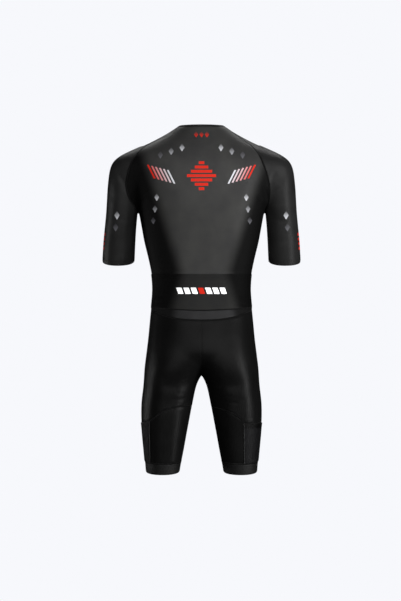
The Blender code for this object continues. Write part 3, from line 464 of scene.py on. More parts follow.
# Studio
GROUND_COLOUR = "#F7F8FC"
FILL_COLOUR = "#FFFFFF"
FILL_STRENGTH = 0.02
DOME_RADIUS = 14.0
DOME_STEP = 6
FLOOR_HEIGHT = -1.45
FLOOR_SHARE = 0.99
STAGE_SIDES = 64
STAGE_TIP = 0.001
SUIT_MIDDLE = (0.0, 0.0, -0.48)
PICTURE_MIDDLE = (0.0028, -0.484)
PICTURE_HEIGHT = 1.6828
CAMERA_DISTANCE = 8.0
# name, place, width, height, power
SOFTBOXES = (
    ("key_behind", (-0.35, 3.0, 0.45), 3.9, 3.0, 220.0),
    ("strip_right", (-2.5, 1.4, -0.75), 0.8, 1.2, 130.0),
    ("strip_left", (2.6, -0.8, -0.85), 0.6, 0.9, 24.0),
    ("key_front", (0.0, -2.0, 2.4), 2.4, 1.6, 115.0),
)


def eased(table):
    """The table's columns over a fine scale of heights, with straight runs eased into each other."""
    rows = np.array(sorted(table))
    heights = np.arange(rows[0, 0] - SPARE, rows[-1, 0] + SPARE, STEP)
    reach = int(3 * EASE / STEP)
    kernel = np.exp(-0.5 * (np.arange(-reach, reach + 1) * STEP / EASE) ** 2)
    kernel /= kernel.sum()
    columns = []
    for column in rows.T[1:]:
        low = column[0] + (heights - rows[0, 0]) * (column[1] - column[0]) / (rows[1, 0] - rows[0, 0])
        high = column[-1] + (heights - rows[-1, 0]) * (column[-1] - column[-2]) / (rows[-1, 0] - rows[-2, 0])
        line = np.interp(heights, rows[:, 0], column)
        line = np.where(heights < rows[0, 0], low, line)
        line = np.where(heights > rows[-1, 0], high, line)
        padded = np.pad(line, reach, mode="reflect", reflect_type="odd")
        columns.append(np.convolve(padded, kernel, mode="valid"))
    return heights, columns


TRUNK_SCALE = eased(TRUNK)
ARM_SCALE = eased(ARM)


def section(scale, height):
    heights, columns = scale
    return [np.interp(height, heights, column) for column in columns]


def from_oval(across, along, half_width, half_depth, power):
    """About how far a point lies outside a rounded oval, below 0 inside it."""
    half_width = np.maximum(half_width, THIN)
    half_depth = np.maximum(half_depth, THIN)
    reach = (np.abs(across / half_width) ** power + np.abs(along / half_depth) ** power) ** (1 / power)
    length = np.hypot(across, along)
    inside = -np.minimum(half_width, half_depth)
    return np.where(length < TINY, inside, length * (1 - 1 / np.maximum(reach, TINY)))


def rounded_min(first, second, radius):
    radius = np.maximum(radius, TINY)
    near = np.maximum(radius - np.abs(first - second), 0) / radius
    return np.minimum(first, second) - near * near * radius / 4


def body_form(points):
    """The smooth form: below 0 inside the suit, 0 on its outer face."""
    x, y, z = np.abs(points[..., 0]), points[..., 1], points[..., 2]
    centre, half_width, back, front, power, bridge = section(TRUNK_SCALE, z)
    centre = np.maximum(centre, 0)
    depth, half_depth = (back + front) / 2, (back - front) / 2
    lobes = [from_oval(x + move, y - depth, half_width, half_depth, power) for move in (-centre, centre)]
    trunk = rounded_min(*lobes, bridge)
    centre, depth, half_width, half_depth, power, blend = section(ARM_SCALE, z)
    arm = from_oval(x - centre, y - depth, half_width, half_depth, power)
    return rounded_min(trunk, arm, blend)


def normals(field, points):
    """Unit normals of a field, pointing outwards, and how fast it grows along them."""
    slope = np.empty_like(points)
    for axis in range(3):
        step = np.zeros(3)
        step[axis] = SLOPE_STEP
        slope[..., axis] = (field(points + step) - field(points - step)) / (2 * SLOPE_STEP)
    size = np.linalg.norm(slope, axis=-1, keepdims=True)
    return slope / np.maximum(size, NO_SLOPE), size[..., 0]


def settle(field, points, rounds=SETTLE_ROUNDS):
    """Moves points the short way onto the field's zero face."""
    points = np.array(points, float)
    for _ in range(rounds):
        direction, growth = normals(field, points)
        move = np.clip(field(points) / np.maximum(growth, LEAST_GROWTH), -LONGEST_MOVE, LONGEST_MOVE)
        points = points - direction * move[..., None]
    return points


def rows_of(*parts):
    """Rows of x, y and z from three numbers or lines of numbers."""
    return np.stack(np.broadcast_arrays(*[np.atleast_1d(part) for part in parts]), axis=-1).astype(float)


def cast(field, origins, ways):
    """Where rays from inside the form first leave it."""
    origins, ways = np.broadcast_arrays(origins, ways / np.linalg.norm(ways, axis=1, keepdims=True))
    steps = np.arange(0, RAY_REACH, RAY_STEP)
    outside = field(origins[:, None] + steps[:, None] * ways[:, None]) > 0
    first = np.argmax(outside, axis=1)
    low, high = steps[np.maximum(first - 1, 0)], steps[first]
    for _ in range(RAY_HALVINGS):
        middle = (low + high) / 2
        beyond = field(origins + middle[:, None] * ways) > 0
        low, high = np.where(beyond, low, middle), np.where(beyond, middle, high)
    return origins + low[:, None] * ways


def trunk_middle(height):
    _, _, back, front, _, _ = section(TRUNK_SCALE, height)
    return (back + front) / 2


def on_face(out, height, face, side, field=None):
    """The form's back (face 1) or front (face -1) at places given sideways and by height."""
    out, height = np.atleast_1d(out), np.atleast_1d(height)
    origins = rows_of(side * out, trunk_middle(height), height)
    return cast(field or form, origins, rows_of(0, face, 0))


def pressed_lines(rows):
    """Where each fold or crease starts on the form, how it runs, and its width and depth."""
    lines = []
    for side, face, out, height, to_out, to_height, width, depth in rows:
        start, end = on_face((out, to_out), (height, to_height), face, side, body_form)
        lines.append((start, end - start, width, depth))
    return lines


FOLD_LINES = pressed_lines([(side, *fold) for fold in FOLDS for side in (1, -1)])
FOLD_STARTS, FOLD_RUNS, FOLD_WIDTHS, FOLD_DEPTHS = [np.array(column) for column in zip(*FOLD_LINES)]
CREASE_LINES = pressed_lines(CREASES)


def swell(along):
    """How deep a fold is along its length: deepest at the middle, and shallow but never flat at its ends."""
    return np.sin(math.pi * np.clip(along, FOLD_END, 1 - FOLD_END)) ** FOLD_SWELL


def form(points):
    """The smooth form with its folds pressed in."""
    reach = points[..., None, :] - FOLD_STARTS
    along = np.clip(np.sum(reach * FOLD_RUNS, axis=-1) / np.sum(FOLD_RUNS**2, axis=-1), 0, 1)
    away = np.linalg.norm(reach - along[..., None] * FOLD_RUNS, axis=-1)
    pressed = FOLD_DEPTHS * swell(along) * np.exp(-((away / FOLD_WIDTHS) ** 2))
    return body_form(points) + np.sum(pressed, axis=-1)


def dressed(points):
    """The form with the fine creases as well: a trough each, with a low ridge along both its sides."""
    value = form(points)
    for start, run, width, depth in CREASE_LINES:
        margin = CREASE_REACH * width
        low, high = np.minimum(start, start + run) - margin, np.maximum(start, start + run) + margin
        near = np.all((points > low) & (points < high), axis=-1)
        reach = points[near] - start
        along = np.clip(reach @ run / (run @ run), 0, 1)
        away = np.sum((reach - along[:, None] * run) ** 2, axis=1) / width**2
        value[near] += depth * swell(along) * (1 - CREASE_RIDGE * away) * np.exp(-away / CREASE_FALL)
    return value


def spaced(line, count, crowd=0.0):
    """A line of points read again at count steps, crowded to its start (above 0) or its end (below 0)."""
    reach = np.concatenate([[0], np.cumsum(np.linalg.norm(np.diff(line, axis=0), axis=1))])
    share = np.linspace(0, 1, count + 1)
    share = 1 - (1 - share) ** (1 - crowd) if crowd < 0 else share ** (1 + crowd)
    marks = share * reach[-1]
    return np.stack([np.interp(marks, reach, line[:, axis]) for axis in range(3)], axis=1)


def smooth_line(anchors, dense=24):
    """A smooth curve through the anchors, by cubic runs between them."""
    anchors = np.array(anchors, float)
    points = np.vstack([2 * anchors[0] - anchors[1], anchors, 2 * anchors[-1] - anchors[-2]])
    spans = np.linalg.norm(np.diff(points, axis=0), axis=1) ** 0.5
    knots = np.concatenate([[0], np.cumsum(spans)])
    line = [anchors[0]]
    for index in range(1, len(points) - 2):
        k = knots[index - 1 : index + 3]
        p = points[index - 1 : index + 3]
        for t in np.linspace(k[1], k[2], dense + 1)[1:]:
            a1, a2, a3 = [p[i] + (p[i + 1] - p[i]) * (t - k[i]) / (k[i + 1] - k[i]) for i in range(3)]
            b1 = a1 + (a2 - a1) * (t - k[0]) / (k[2] - k[0])
            b2 = a2 + (a3 - a2) * (t - k[1]) / (k[3] - k[1])
            line.append(b1 + (b2 - b1) * (t - k[1]) / (k[2] - k[1]))
    return np.array(line)


def seam(anchors, count, crowd=0.0, start=None, end=None):
    """A seam through anchors on the form, as count stretches of FINER points each that lie on it.

    Start and end are points of other seams that it meets.
    """
    line = settle(form, smooth_line(anchors))
    line = settle(form, spaced(line, count * FINER, crowd))
    for index, met in ((0, start), (-1, end)):
        if met is not None:
            line[index] = met
    return line


def straight(start, end, count=STRAIGHT_ANCHORS):
    share = np.linspace(0, 1, count)[:, None]
    return settle(form, (1 - share) * start + share * end)


def joined(*lines):
    """Lines laid end to end, without their shared ends."""
    return np.vstack([lines[0], *[line[1:] for line in lines[1:]]])


def ways_across(field, line):
    """Unit ways across a line on a field's face."""
    run = np.gradient(line, axis=0)
    run /= np.linalg.norm(run, axis=1, keepdims=True)
    return np.cross(normals(field, line)[0], run)


def below(line, width):
    """A line on the form, moved across it by a width, towards the hem."""
    across = ways_across(form, line)
    across *= -np.sign(across[:, 2:])
    return settle(form, line + width * across)


def around(degrees, height, side, out, depth):
    """Level ways out from a middle line to the form: 90 is the back, 0 the outer side, -90 the front."""
    angle = np.radians(degrees)
    ways = rows_of(side * np.cos(angle), np.sin(angle), 0)
    return cast(form, rows_of(side * out, depth, height), ways)


def trunk_places(degrees, height, side):
    return around(degrees, height, side, 0, trunk_middle(height))


def leg_places(degrees, height, side):
    """On a leg: 0 is its outer side, 90 the back, 180 the inner side and -90 the front."""
    return around(degrees, height, side, section(TRUNK_SCALE, height)[0], trunk_middle(height))


def arm_places(degrees, height, side):
    """On a sleeve, by the same angles as on a leg."""
    return around(degrees, height, side, *section(ARM_SCALE, height)[:2])


def neck_arc(start, end, side, count):
    """Part of the neck edge, by the same angles."""
    degrees = np.linspace(start, end, 2 * count + 2)
    forward = np.maximum(-np.sin(np.radians(degrees)), 0)
    height = NECK_TOP - NECK_FRONT_DROP * forward**NECK_DROP_POWER
    return seam(trunk_places(degrees, height, side), count)


def leg_angle(out, height, face, side):
    """The angle round a leg of a place on its back or front."""
    centre = section(TRUNK_SCALE, height)[0]
    place = on_face(out, height, face, side)[0]
    return math.degrees(math.atan2(place[1] - trunk_middle(height), side * place[0] - centre))


def leg_ring(height, drop, spans, side):
    """A ring round a leg, lower at the back by drop, as arcs that meet."""
    arcs = []
    for start, end, count in spans:
        degrees = np.linspace(start, end, 2 * count + 2)
        heights = height - drop * np.sin(np.radians(degrees))
        arcs.append(seam(leg_places(degrees, heights, side), count))
    for index, arc in enumerate(arcs):
        arc[0] = arcs[index - 1][-1]
    return arcs


def raglan(table, start, underarm, face, side):
    heights, left, right = np.array(table).T
    anchors = on_face(left if side > 0 else right, heights, face, side)
    return seam([start, *anchors, underarm], RAGLAN_ROWS, -UNDERARM_CROWD)


def finer(line):
    """A line or a net read FINER times as closely from row to row, by smooth runs through its rows."""
    before, after = 2 * line[:1] - line[1:2], 2 * line[-1:] - line[-2:-1]
    rows = np.concatenate([before, line, after])
    a, b, c, d = [rows[i : len(rows) - 3 + i, None] for i in range(4)]
    t = (np.arange(FINER) / FINER).reshape(1, -1, *[1] * (line.ndim - 1))
    run = b + 0.5 * t * (c - a + t * (2 * a - 5 * b + 4 * c - d + t * (3 * (b - c) + d - a)))
    return np.concatenate([run.reshape(-1, *line.shape[1:]), line[-1:]])


def spanned(top, bottom, left, right):
    """A net of points spanned between its four edges."""
    rows, columns = len(left), len(top)
    u = np.linspace(0, 1, columns)[None, :, None]
    v = np.linspace(0, 1, rows)[:, None, None]
    net = (1 - v) * top[None] + v * bottom[None] + (1 - u) * left[:, None] + u * right[:, None]
    net = net - (1 - u) * (1 - v) * top[0] - u * (1 - v) * top[-1]
    net = net - (1 - u) * v * bottom[0] - u * v * bottom[-1]
    net[0], net[-1], net[:, 0], net[:, -1] = top, bottom, left, right
    return net


def relaxed(net):
    """A net on the form whose inner points are drawn half way to the middle of their four neighbours."""
    inner = settle(form, net[1:-1, 1:-1])
    for _ in range(RELAX_ROUNDS):
        net[1:-1, 1:-1] = inner
        around_it = net[:-2, 1:-1] + net[2:, 1:-1] + net[1:-1, :-2] + net[1:-1, 2:]
        inner = settle(form, 0.5 * inner + 0.5 / 4 * around_it, rounds=2)
    net[1:-1, 1:-1] = settle(form, inner)
    return net


def patch(top, bottom, left, right):
    """A fine net on the creased cloth between four seams, its rows from top to bottom."""
    coarse = relaxed(spanned(*[edge[::FINER] for edge in (top, bottom, left, right)]))
    net = finer(finer(coarse).swapaxes(0, 1)).swapaxes(0, 1)
    net = net + spanned(top - net[0], bottom - net[-1], left - net[:, 0], right - net[:, -1])
    return settle(dressed, net, FINE_ROUNDS)


def strip(first, last, columns):
    """A narrow net on the cloth from one line to another."""
    share = np.linspace(0, 1, columns + 1)[None, :, None]
    return settle(dressed, (1 - share) * first[:, None] + share * last[:, None], FINE_ROUNDS)


def half_suit(side):
    """Every seam and net of one side, by name. Nets run from the front or outer side inwards."""
    # Neck binding, from the middle of the back round to the zip's opening
    halves = (ZIP_HALF_WIDTH, ZIP_HALF_OPENING)
    zip_angle, open_angle = [-90 + math.degrees(math.atan2(half, NECK_REACH)) for half in halves]
    angles = (90, NECK_SIDE_ANGLE, NECK_FRONT_ANGLE, zip_angle, open_angle)
    counts = (BODY_COLUMNS, SLEEVE_COLUMNS, BODY_COLUMNS - 1, 1)
    top = joined(*[neck_arc(a, b, side, count) for a, b, count in zip(angles, angles[1:], counts)])
    foot = below(top, BINDING_WIDTH)
    foot[0, 0] = 0.0
    by_tape = np.linspace(ZIP_HALF_WIDTH, ZIP_HALF_OPENING, FINER + 1)
    foot[-FINER - 1 :] = on_face(by_tape, foot[-FINER - 1 :, 2], -1, side)
    ends = np.cumsum([0, *counts]) * FINER
    edge_back, edge_sleeve, edge_front, edge_tape = [foot[a : b + 1] for a, b in zip(ends, ends[1:])]

    # Raglan and side seams
    underarm = cast(form, rows_of(side * UNDERARM[0], *UNDERARM[1:]), rows_of(0, 0, -1))[0]
    seam_back = raglan(RAGLAN_BACK, edge_sleeve[0], underarm, 1, side)
    seam_front = raglan(RAGLAN_FRONT, edge_sleeve[-1], underarm, -1, side)
    side_high = trunk_places(0, np.linspace(BELOW_UNDERARM, POCKET_TOP, SIDE_ANCHORS), side)
    side_up = seam([underarm, *side_high], SIDE_ROWS, UNDERARM_CROWD)
    side_low = trunk_places(0, np.linspace(POCKET_TOP, WAIST_SIDE, SHORT_ANCHORS), side)
    side_low = seam(side_low, POCKET_ROWS, start=side_up[-1])
    waist_corner = side_low[-1]

    # Back bodice, in two nets that meet along the rear pocket's top edge
    turns = np.linspace(90, 0, WAIST_ANCHORS)
    sag = np.sin(np.radians(turns)) ** 2
    pocket_line = trunk_places(turns, np.full(WAIST_ANCHORS, POCKET_TOP), side)
    pocket_line = seam(pocket_line, BODY_COLUMNS, end=side_up[-1])
    waist_back = trunk_places(turns, WAIST_SIDE + (WAIST_BACK - WAIST_SIDE) * sag, side)
    waist_back = seam(waist_back, BODY_COLUMNS, end=waist_corner)

    # Front bodice and zip tape
    heights = WAIST_SIDE + (WAIST_FRONT - WAIST_SIDE) * sag
    waist_front = trunk_places(-turns[::-1], heights[::-1], side)
    waist_zip = on_face(ZIP_HALF_WIDTH, WAIST_FRONT, -1, side)[0]
    waist_front = seam([*waist_front[:-2], waist_zip], BODY_COLUMNS - 1, start=waist_corner)
    body_rows = RAGLAN_ROWS + SIDE_ROWS + POCKET_ROWS
    zip_heights = np.linspace(edge_front[-1, 2], WAIST_FRONT, ZIP_ANCHORS)
    zip_edge = on_face(ZIP_HALF_WIDTH, zip_heights, -1, side)
    zip_edge = seam(zip_edge, body_rows, start=edge_front[-1], end=waist_front[-1])
    tape_edge = on_face(ZIP_HALF_OPENING, zip_heights, -1, side)
    tape_edge = seam(tape_edge, body_rows, start=edge_tape[-1])
    front_side = joined(seam_front, side_up, side_low)

    # Sleeve: a saddle between the raglan seams, then a tube
    ring = arm_places(*np.array(ARMHOLE_RING).T, side)
    ring = seam([underarm, *ring, underarm], SLEEVE_COLUMNS)
    degrees = np.linspace(180, -180, HEM_ANCHORS)
    drop = SLEEVE_HEM_BACK_DROP * np.sin(np.radians(degrees))
    hem, stitched = [
        seam(arm_places(degrees, height - drop, side), SLEEVE_COLUMNS)
        for height in (SLEEVE_HEM, SLEEVE_HEM + HEM_STITCH_UP)
    ]
    hem[-1] = hem[0]
    under = arm_places(180, np.linspace(BELOW_UNDERARM, SLEEVE_HEM, SHORT_ANCHORS), side)
    under = seam([underarm, *under], SLEEVE_ROWS, UNDERARM_CROWD, end=hem[0])

    # Yoke and shorts
    yoke_corner = trunk_places(0, YOKE_SIDE, side)[0]
    yoke_line = seam([*on_face(*np.array(YOKE).T, 1, side), yoke_corner], BODY_COLUMNS)
    yoke_line[0, 0] = 0.0
    yoke_side = seam([waist_corner, yoke_corner], YOKE_ROWS)
    swing = np.radians(np.linspace(0, 90, RISE_ANCHORS))
    rises = []
    for face, high, rows in (
        (1, (YOKE_BACK, BELOW_YOKE), SEAT_ROWS),
        (-1, (WAIST_FRONT, YOKE_BACK, BELOW_YOKE), SEAT_ROWS + YOKE_ROWS),
    ):
        centre = rows_of(0, CROTCH_DEPTH, CROTCH_RAY_HEIGHT)
        low = cast(form, centre, rows_of(0, face * np.cos(swing), -np.sin(swing)))
        rises.append(seam([*on_face(0, high, face, side), *low], rows))
        rises[-1][:, 0] = 0.0
        if face > 0:
            crotch = low[-1]
    rise_back, rise_front = rises
    rise_back[0] = yoke_line[0]
    rise_front[-1] = rise_back[-1]
    inner = leg_places(180, np.linspace(BELOW_CROTCH, THIGH_INNER, INNER_ANCHORS), side)
    inseam = seam([crotch, *inner], INSEAM_ROWS, start=rise_back[-1])
    outer = leg_places(0, np.linspace(YOKE_SIDE, THIGH_SEAM, OUTER_ANCHORS)[1:], side)
    side_seat = seam([yoke_corner, *outer], SEAT_ROWS + INSEAM_ROWS)
    arch_columns = BODY_COLUMNS - POCKET_SIDE_COLUMNS

    def thigh_line(table, face):
        """The short seam over the side panel and the arch from there to the inseam."""
        out, height = np.array(table).T[:2] if side > 0 else np.array(table).T[2:]
        arch = seam([*on_face(out, height, face, side), inseam[-1]], arch_columns)
        share = np.linspace(0, 1, STRIP_ANCHORS)
        heights = THIGH_SEAM + (height[0] - THIGH_SEAM) * share
        over = leg_places(leg_angle(out[0], height[0], face, side) * share, heights, side)
        over = seam([*over[:-1], arch[0]], POCKET_SIDE_COLUMNS, start=side_seat[-1], end=arch[0])
        return over, arch

    over_back, arch_back = thigh_line(THIGH_BACK, 1)
    over_front, arch_front = thigh_line(THIGH_FRONT, -1)
    bottom_back, bottom_front = joined(over_back, arch_back), joined(over_front, arch_front)
    side_top, thigh_top = joined(over_front[::-1], over_back), joined(arch_back, arch_front[::-1])
    front_top = joined(waist_front, straight(waist_front[-1], rise_front[0], FINER + 1))
    front_outer = joined(yoke_side, side_seat)

    # Lower leg: side panel, thigh panel and gripper band
    foot_back, foot_front = GRIPPER_TOP - GRIPPER_BACK_DROP, GRIPPER_TOP + GRIPPER_BACK_DROP
    to_back = leg_angle(SIDE_SEAM_BACK_FOOT[side], foot_back, 1, side)
    to_front = 360 + leg_angle(SIDE_SEAM_FRONT_FOOT[side], foot_front, -1, side)
    spans = (
        (0, to_back, POCKET_SIDE_COLUMNS),
        (to_back, 180, arch_columns),
        (180, to_front, arch_columns),
        (to_front, 360, POCKET_SIDE_COLUMNS),
    )
    gripper = leg_ring(GRIPPER_TOP, GRIPPER_BACK_DROP, spans, side)
    around_top = joined(*gripper)
    around_hem = joined(*leg_ring(LEG_HEM, LEG_HEM_BACK_DROP, spans, side))
    back_leg = seam(straight(arch_back[0], gripper[0][-1]), THIGH_ROWS)
    front_leg = seam(straight(arch_front[0], gripper[2][-1]), THIGH_ROWS)
    side_panel = [patch(side_top, joined(gripper[3], gripper[0]), front_leg, back_leg)]
    down = seam(straight(around_top[0], around_hem[0]), GRIPPER_ROWS)

    return {
        "neck_top": top,
        "neck_foot": foot,
        "neck_back": edge_back,
        "side_back": joined(seam_back, side_up),
        "side_low": side_low,
        "pocket_line": pocket_line,
        "waist_back": waist_back,
        "yoke_line": yoke_line,
        "yoke_side": yoke_side,
        "front_bodice": [patch(edge_front, waist_front, front_side, zip_edge)],
        "sleeve": [patch(edge_sleeve, ring, seam_back, seam_front), patch(ring, hem, under, under)],
        "zip_tape": [strip(zip_edge, tape_edge, TAPE_COLUMNS)],
        "shorts_back": [patch(yoke_line[::-1], bottom_back, side_seat, joined(rise_back, inseam))],
        "shorts_front": [patch(front_top, bottom_front, front_outer, joined(rise_front, inseam))],
        "thigh_panel": [patch(thigh_top, joined(*gripper[1:3]), back_leg, front_leg)],
        "side_panel": side_panel,
        "side_pocket": side_panel,
        "leg_gripper": [patch(around_top, around_hem, down, down)],
        # Sewn lines
        "zip_way": side,
        "zip_edge": zip_edge,
        "tape_edge": tape_edge,
        "rise": [rise_back, rise_front],
        "flatlock": [
            *(seam_back, seam_front, joined(side_up, side_low), under, waist_front),
            *(front_outer, inseam, bottom_back, bottom_front, back_leg, front_leg, around_top),
        ],
        "sleeve_stitches": stitched,
        "pocket_stitches": below(side_top, POCKET_BAND),
        "pocket_edge": back_leg,
    }


def lengths(net):
    """How far each point of a net lies along its row, from the row's middle, and down its column."""
    along, down = np.zeros(net.shape[:2]), np.zeros(net.shape[:2])
    along[:, 1:] = np.cumsum(np.linalg.norm(np.diff(net, axis=1), axis=2), axis=1)
    down[1:] = np.cumsum(np.linalg.norm(np.diff(net, axis=0), axis=2), axis=0)
    return np.stack([along - along[:, -1:] / 2, down], axis=2)


def welded(nets):
    """The shared points of a piece's nets, its quads, and each quad corner's place on the flat cloth."""
    rows = np.concatenate([net.reshape(-1, 3) for net in nets])
    flat = np.concatenate([lengths(net).reshape(-1, 2) for net in nets])
    _, first, number = np.unique(np.round(rows, WELD_DIGITS), axis=0, return_index=True, return_inverse=True)
    quads, start = [], 0
    for net in nets:
        grid = start + np.arange(net.shape[0] * net.shape[1]).reshape(net.shape[:2])
        corners = (grid[:-1, :-1], grid[1:, :-1], grid[1:, 1:], grid[:-1, 1:])
        quads.append(np.stack([corner.reshape(-1) for corner in corners], axis=1))
        start += grid.size
    quads = np.concatenate(quads)
    return rows[first], number.reshape(-1)[quads], flat[quads], flat[first]


def open_edges(quads, count):
    """The starts and ends of the quads' edges that only one quad has."""
    starts, ends = quads.reshape(-1), np.roll(quads, -1, axis=1).reshape(-1)
    lone = ~np.isin(starts * count + ends, ends * count + starts)
    return starts[lone], ends[lone]


def shell_mesh(name, nets, wall, lift, mouth):
    """A thin shell of cloth on its nets, with its cut edges rolled in, and its outer face's area."""
    points, quads, corners, flat = welded(nets)
    outward = normals(dressed, points)[0]
    a, b, c, d = [points[quads[:, i]] for i in range(4)]
    facing = np.cross(c - a, d - b)
    if np.sum(facing * outward[quads[:, 0]]) < 0:
        quads, corners = quads[:, ::-1], corners[:, ::-1]
    starts, ends = open_edges(quads, len(points))
    rolled = np.zeros(len(points))
    rolled[starts] = EDGE_ROLL
    raised = np.full(len(points), (lift + wall) if lift else 0.0)
    if mouth:
        across = np.clip(1 - np.abs(flat[:, 0]) / np.abs(flat[:, 0]).max(), 0, 1) ** MOUTH_ROUND
        raised += mouth * across * np.clip(1 - flat[:, 1] / MOUTH_REACH, 0, 1) ** 2
    inner = points + (raised - wall)[:, None] * outward
    outer = points + (raised - rolled)[:, None] * outward
    count = len(points)
    walls = np.stack([ends, starts, starts + count, ends + count], axis=1)
    faces = np.concatenate([quads, quads[:, ::-1] + count, walls])
    laid_flat = [corners, corners[:, ::-1], flat[np.stack([ends, starts, starts, ends], axis=1)]]
    mesh = bpy.data.meshes.new(name)
    mesh.from_pydata(np.concatenate([outer, inner]).tolist(), [], faces.tolist())
    layer = mesh.uv_layers.new(name="cloth")
    layer.data.foreach_set("uv", np.concatenate(laid_flat).reshape(-1))
    mesh.shade_smooth()
    mesh.set_sharp_from_angle(angle=math.radians(SHARP_ANGLE))
    return mesh, np.linalg.norm(facing, axis=1).sum() / 2


def new_object(name, mesh, finish):
    mesh.materials.clear()
    mesh.materials.append(finish)
    made = bpy.data.objects.new(name, mesh)
    bpy.context.scene.collection.objects.link(made)
    return made


def cloth(node, nets, finish, slot, wall=WALL, lift=0.0, mouth=0.0):
    """The visible cloth of one cut piece, in its solid's place, and the size it was cut to, which is worked
    out but not used.
    """
    mesh, area = shell_mesh(f"cloth_{node}", nets, wall, lift, mouth)
    made = new_object(f"cloth_{node}", mesh, finish)
    sizes = [lengths(net) for net in nets]
    width = max(float(np.ptp(size[..., 0], axis=1).max()) for size in sizes) / CUT_STRETCH
    length = sum(float(size[-1, :, 1].max()) for size in sizes) / CUT_STRETCH
    width, length = max(width, LEAST_CUT), max(length, LEAST_CUT)
    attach(made, "suit")
    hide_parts(node)


def add(tree, kind, inputs=None, **settings):
    """A new node with its settings, values and links. A node links by its first output, a list by each."""
    node = tree.nodes.new(kind)
    for name, value in settings.items():
        setattr(node, name, value)
    for name, value in (inputs or {}).items():
        for part in value if isinstance(value, list) else [value]:
            source = part.outputs[0] if isinstance(part, bpy.types.Node) else part
            if isinstance(source, bpy.types.NodeSocket):
                tree.links.new(source, node.inputs[name])
            else:
                node.inputs[name].default_value = source
    return node


def grower(name, sizes, shape):
    """A tree that grows a shape from lines. Its inputs are the lines, the named sizes and the finish."""
    tree = bpy.data.node_groups.new(name, "GeometryNodeTree")
    kinds = {"Lines": "Geometry", **dict.fromkeys(sizes, "Float"), "Finish": "Material"}
    for socket, kind in kinds.items():
        tree.interface.new_socket(socket, in_out="INPUT", socket_type=f"NodeSocket{kind}")
    tree.interface.new_socket("Grown", in_out="OUTPUT", socket_type="NodeSocketGeometry")
    given = add(tree, "NodeGroupInput").outputs
    curve = add(tree, "GeometryNodeMeshToCurve", {"Mesh": given["Lines"]})
    real = add(tree, "GeometryNodeRealizeInstances", {"Geometry": shape(tree, given, curve)})
    smooth = add(tree, "GeometryNodeSetShadeSmooth", {"Geometry": real})
    coloured = add(tree, "GeometryNodeSetMaterial", {"Geometry": smooth, "Material": given["Finish"]})
    add(tree, "NodeGroupOutput", {"Grown": coloured})
    return tree


def repeated(shape):
    """What sets copies of a shape along a curve, upright on the cloth, a pitch apart."""

    def copied(tree, given, curve):
        spacing = {"Curve": curve, "Length": given["Pitch"]}
        places = add(tree, "GeometryNodeResampleCurve", spacing, mode="LENGTH")
        outward = add(tree, "GeometryNodeInputNamedAttribute", {"Name": "out"}, data_type="FLOAT_VECTOR")
        ahead = {"Vector": add(tree, "GeometryNodeInputTangent")}
        ahead = add(tree, "FunctionNodeAlignRotationToVector", ahead, axis="X")
        up = {"Rotation": ahead, "Vector": outward}
        upright = add(tree, "FunctionNodeAlignRotationToVector", up, axis="Z", pivot_axis="X")
        copies = {"Points": places, "Instance": shape(tree, given), "Rotation": upright}
        return add(tree, "GeometryNodeInstanceOnPoints", copies)

    return copied


def cord(tree, given, curve):
    """A round cord laid along a curve."""
    ring = {"Resolution": CORD_SIDES, "Radius": given["Radius"]}
    ring = add(tree, "GeometryNodeCurvePrimitiveCircle", ring)
    swept = {"Curve": curve, "Profile Curve": ring, "Fill Caps": True}
    return add(tree, "GeometryNodeCurveToMesh", swept)


def beads(tree, size, axis, step, shares, turn=(0.0, 0.0, 0.0)):
    """Oval beads of thread, each set off along an axis by a share of a step."""
    bead = add(tree, "GeometryNodeMeshIcoSphere", {"Radius": 0.5, "Subdivisions": 1})
    scale = add(tree, "ShaderNodeCombineXYZ", size)
    laid = []
    for share in shares:
        off = add(tree, "ShaderNodeMath", {0: step, 1: share}, operation="MULTIPLY")
        moved = {"Geometry": bead, "Scale": scale, "Rotation": turn}
        moved["Translation"] = add(tree, "ShaderNodeCombineXYZ", {axis: off})
        laid.append(add(tree, "GeometryNodeTransform", moved))
    return laid


def needle_rows(tree, given, shares=(-0.5, 0.5)):
    """One stitch of each needle row, by its share of the gap between the rows."""
    size = {"X": given["Stitch"], "Y": given["Thread"], "Z": given["Thread"]}
    return add(tree, "GeometryNodeJoinGeometry", {0: beads(tree, size, "Y", given["Gap"], shares)})


def one_row(tree, given):
    return needle_rows(tree, given, (0.0,))


def covered_rows(tree, given):
    """Two needle stitches, and under them a close bed of loops of thread across the seam."""
    wide = {0: given["Pitch"], 1: BED_OVERLAP / BED_LOOPS}
    wide = add(tree, "ShaderNodeMath", wide, operation="MULTIPLY")
    size = {"X": wide, "Y": given["Bed"], "Z": given["Thread"]}
    shares = [(place + 0.5) / BED_LOOPS - 0.5 for place in range(BED_LOOPS)]
    bed = beads(tree, size, "X", given["Pitch"], shares, (0.0, 0.0, BED_SLANT))
    return add(tree, "GeometryNodeJoinGeometry", {0: [needle_rows(tree, given), *bed]})


def coil_tooth(tree, given):
    """One turn of the zip's nylon coil: a short bar across the chain with round ends."""
    round_bar = {"Vertices": CORD_SIDES, "Radius": 0.5, "Depth": 1.0}
    bar = add(tree, "GeometryNodeMeshCylinder", round_bar, fill_type="TRIANGLE_FAN")
    flat = {"X": given["Length"], "Y": given["Height"], "Z": given["Width"]}
    size = add(tree, "ShaderNodeCombineXYZ", flat)
    laid = {"Geometry": bar, "Scale": size, "Rotation": (math.pi / 2, 0, 0)}
    return add(tree, "GeometryNodeTransform", laid)


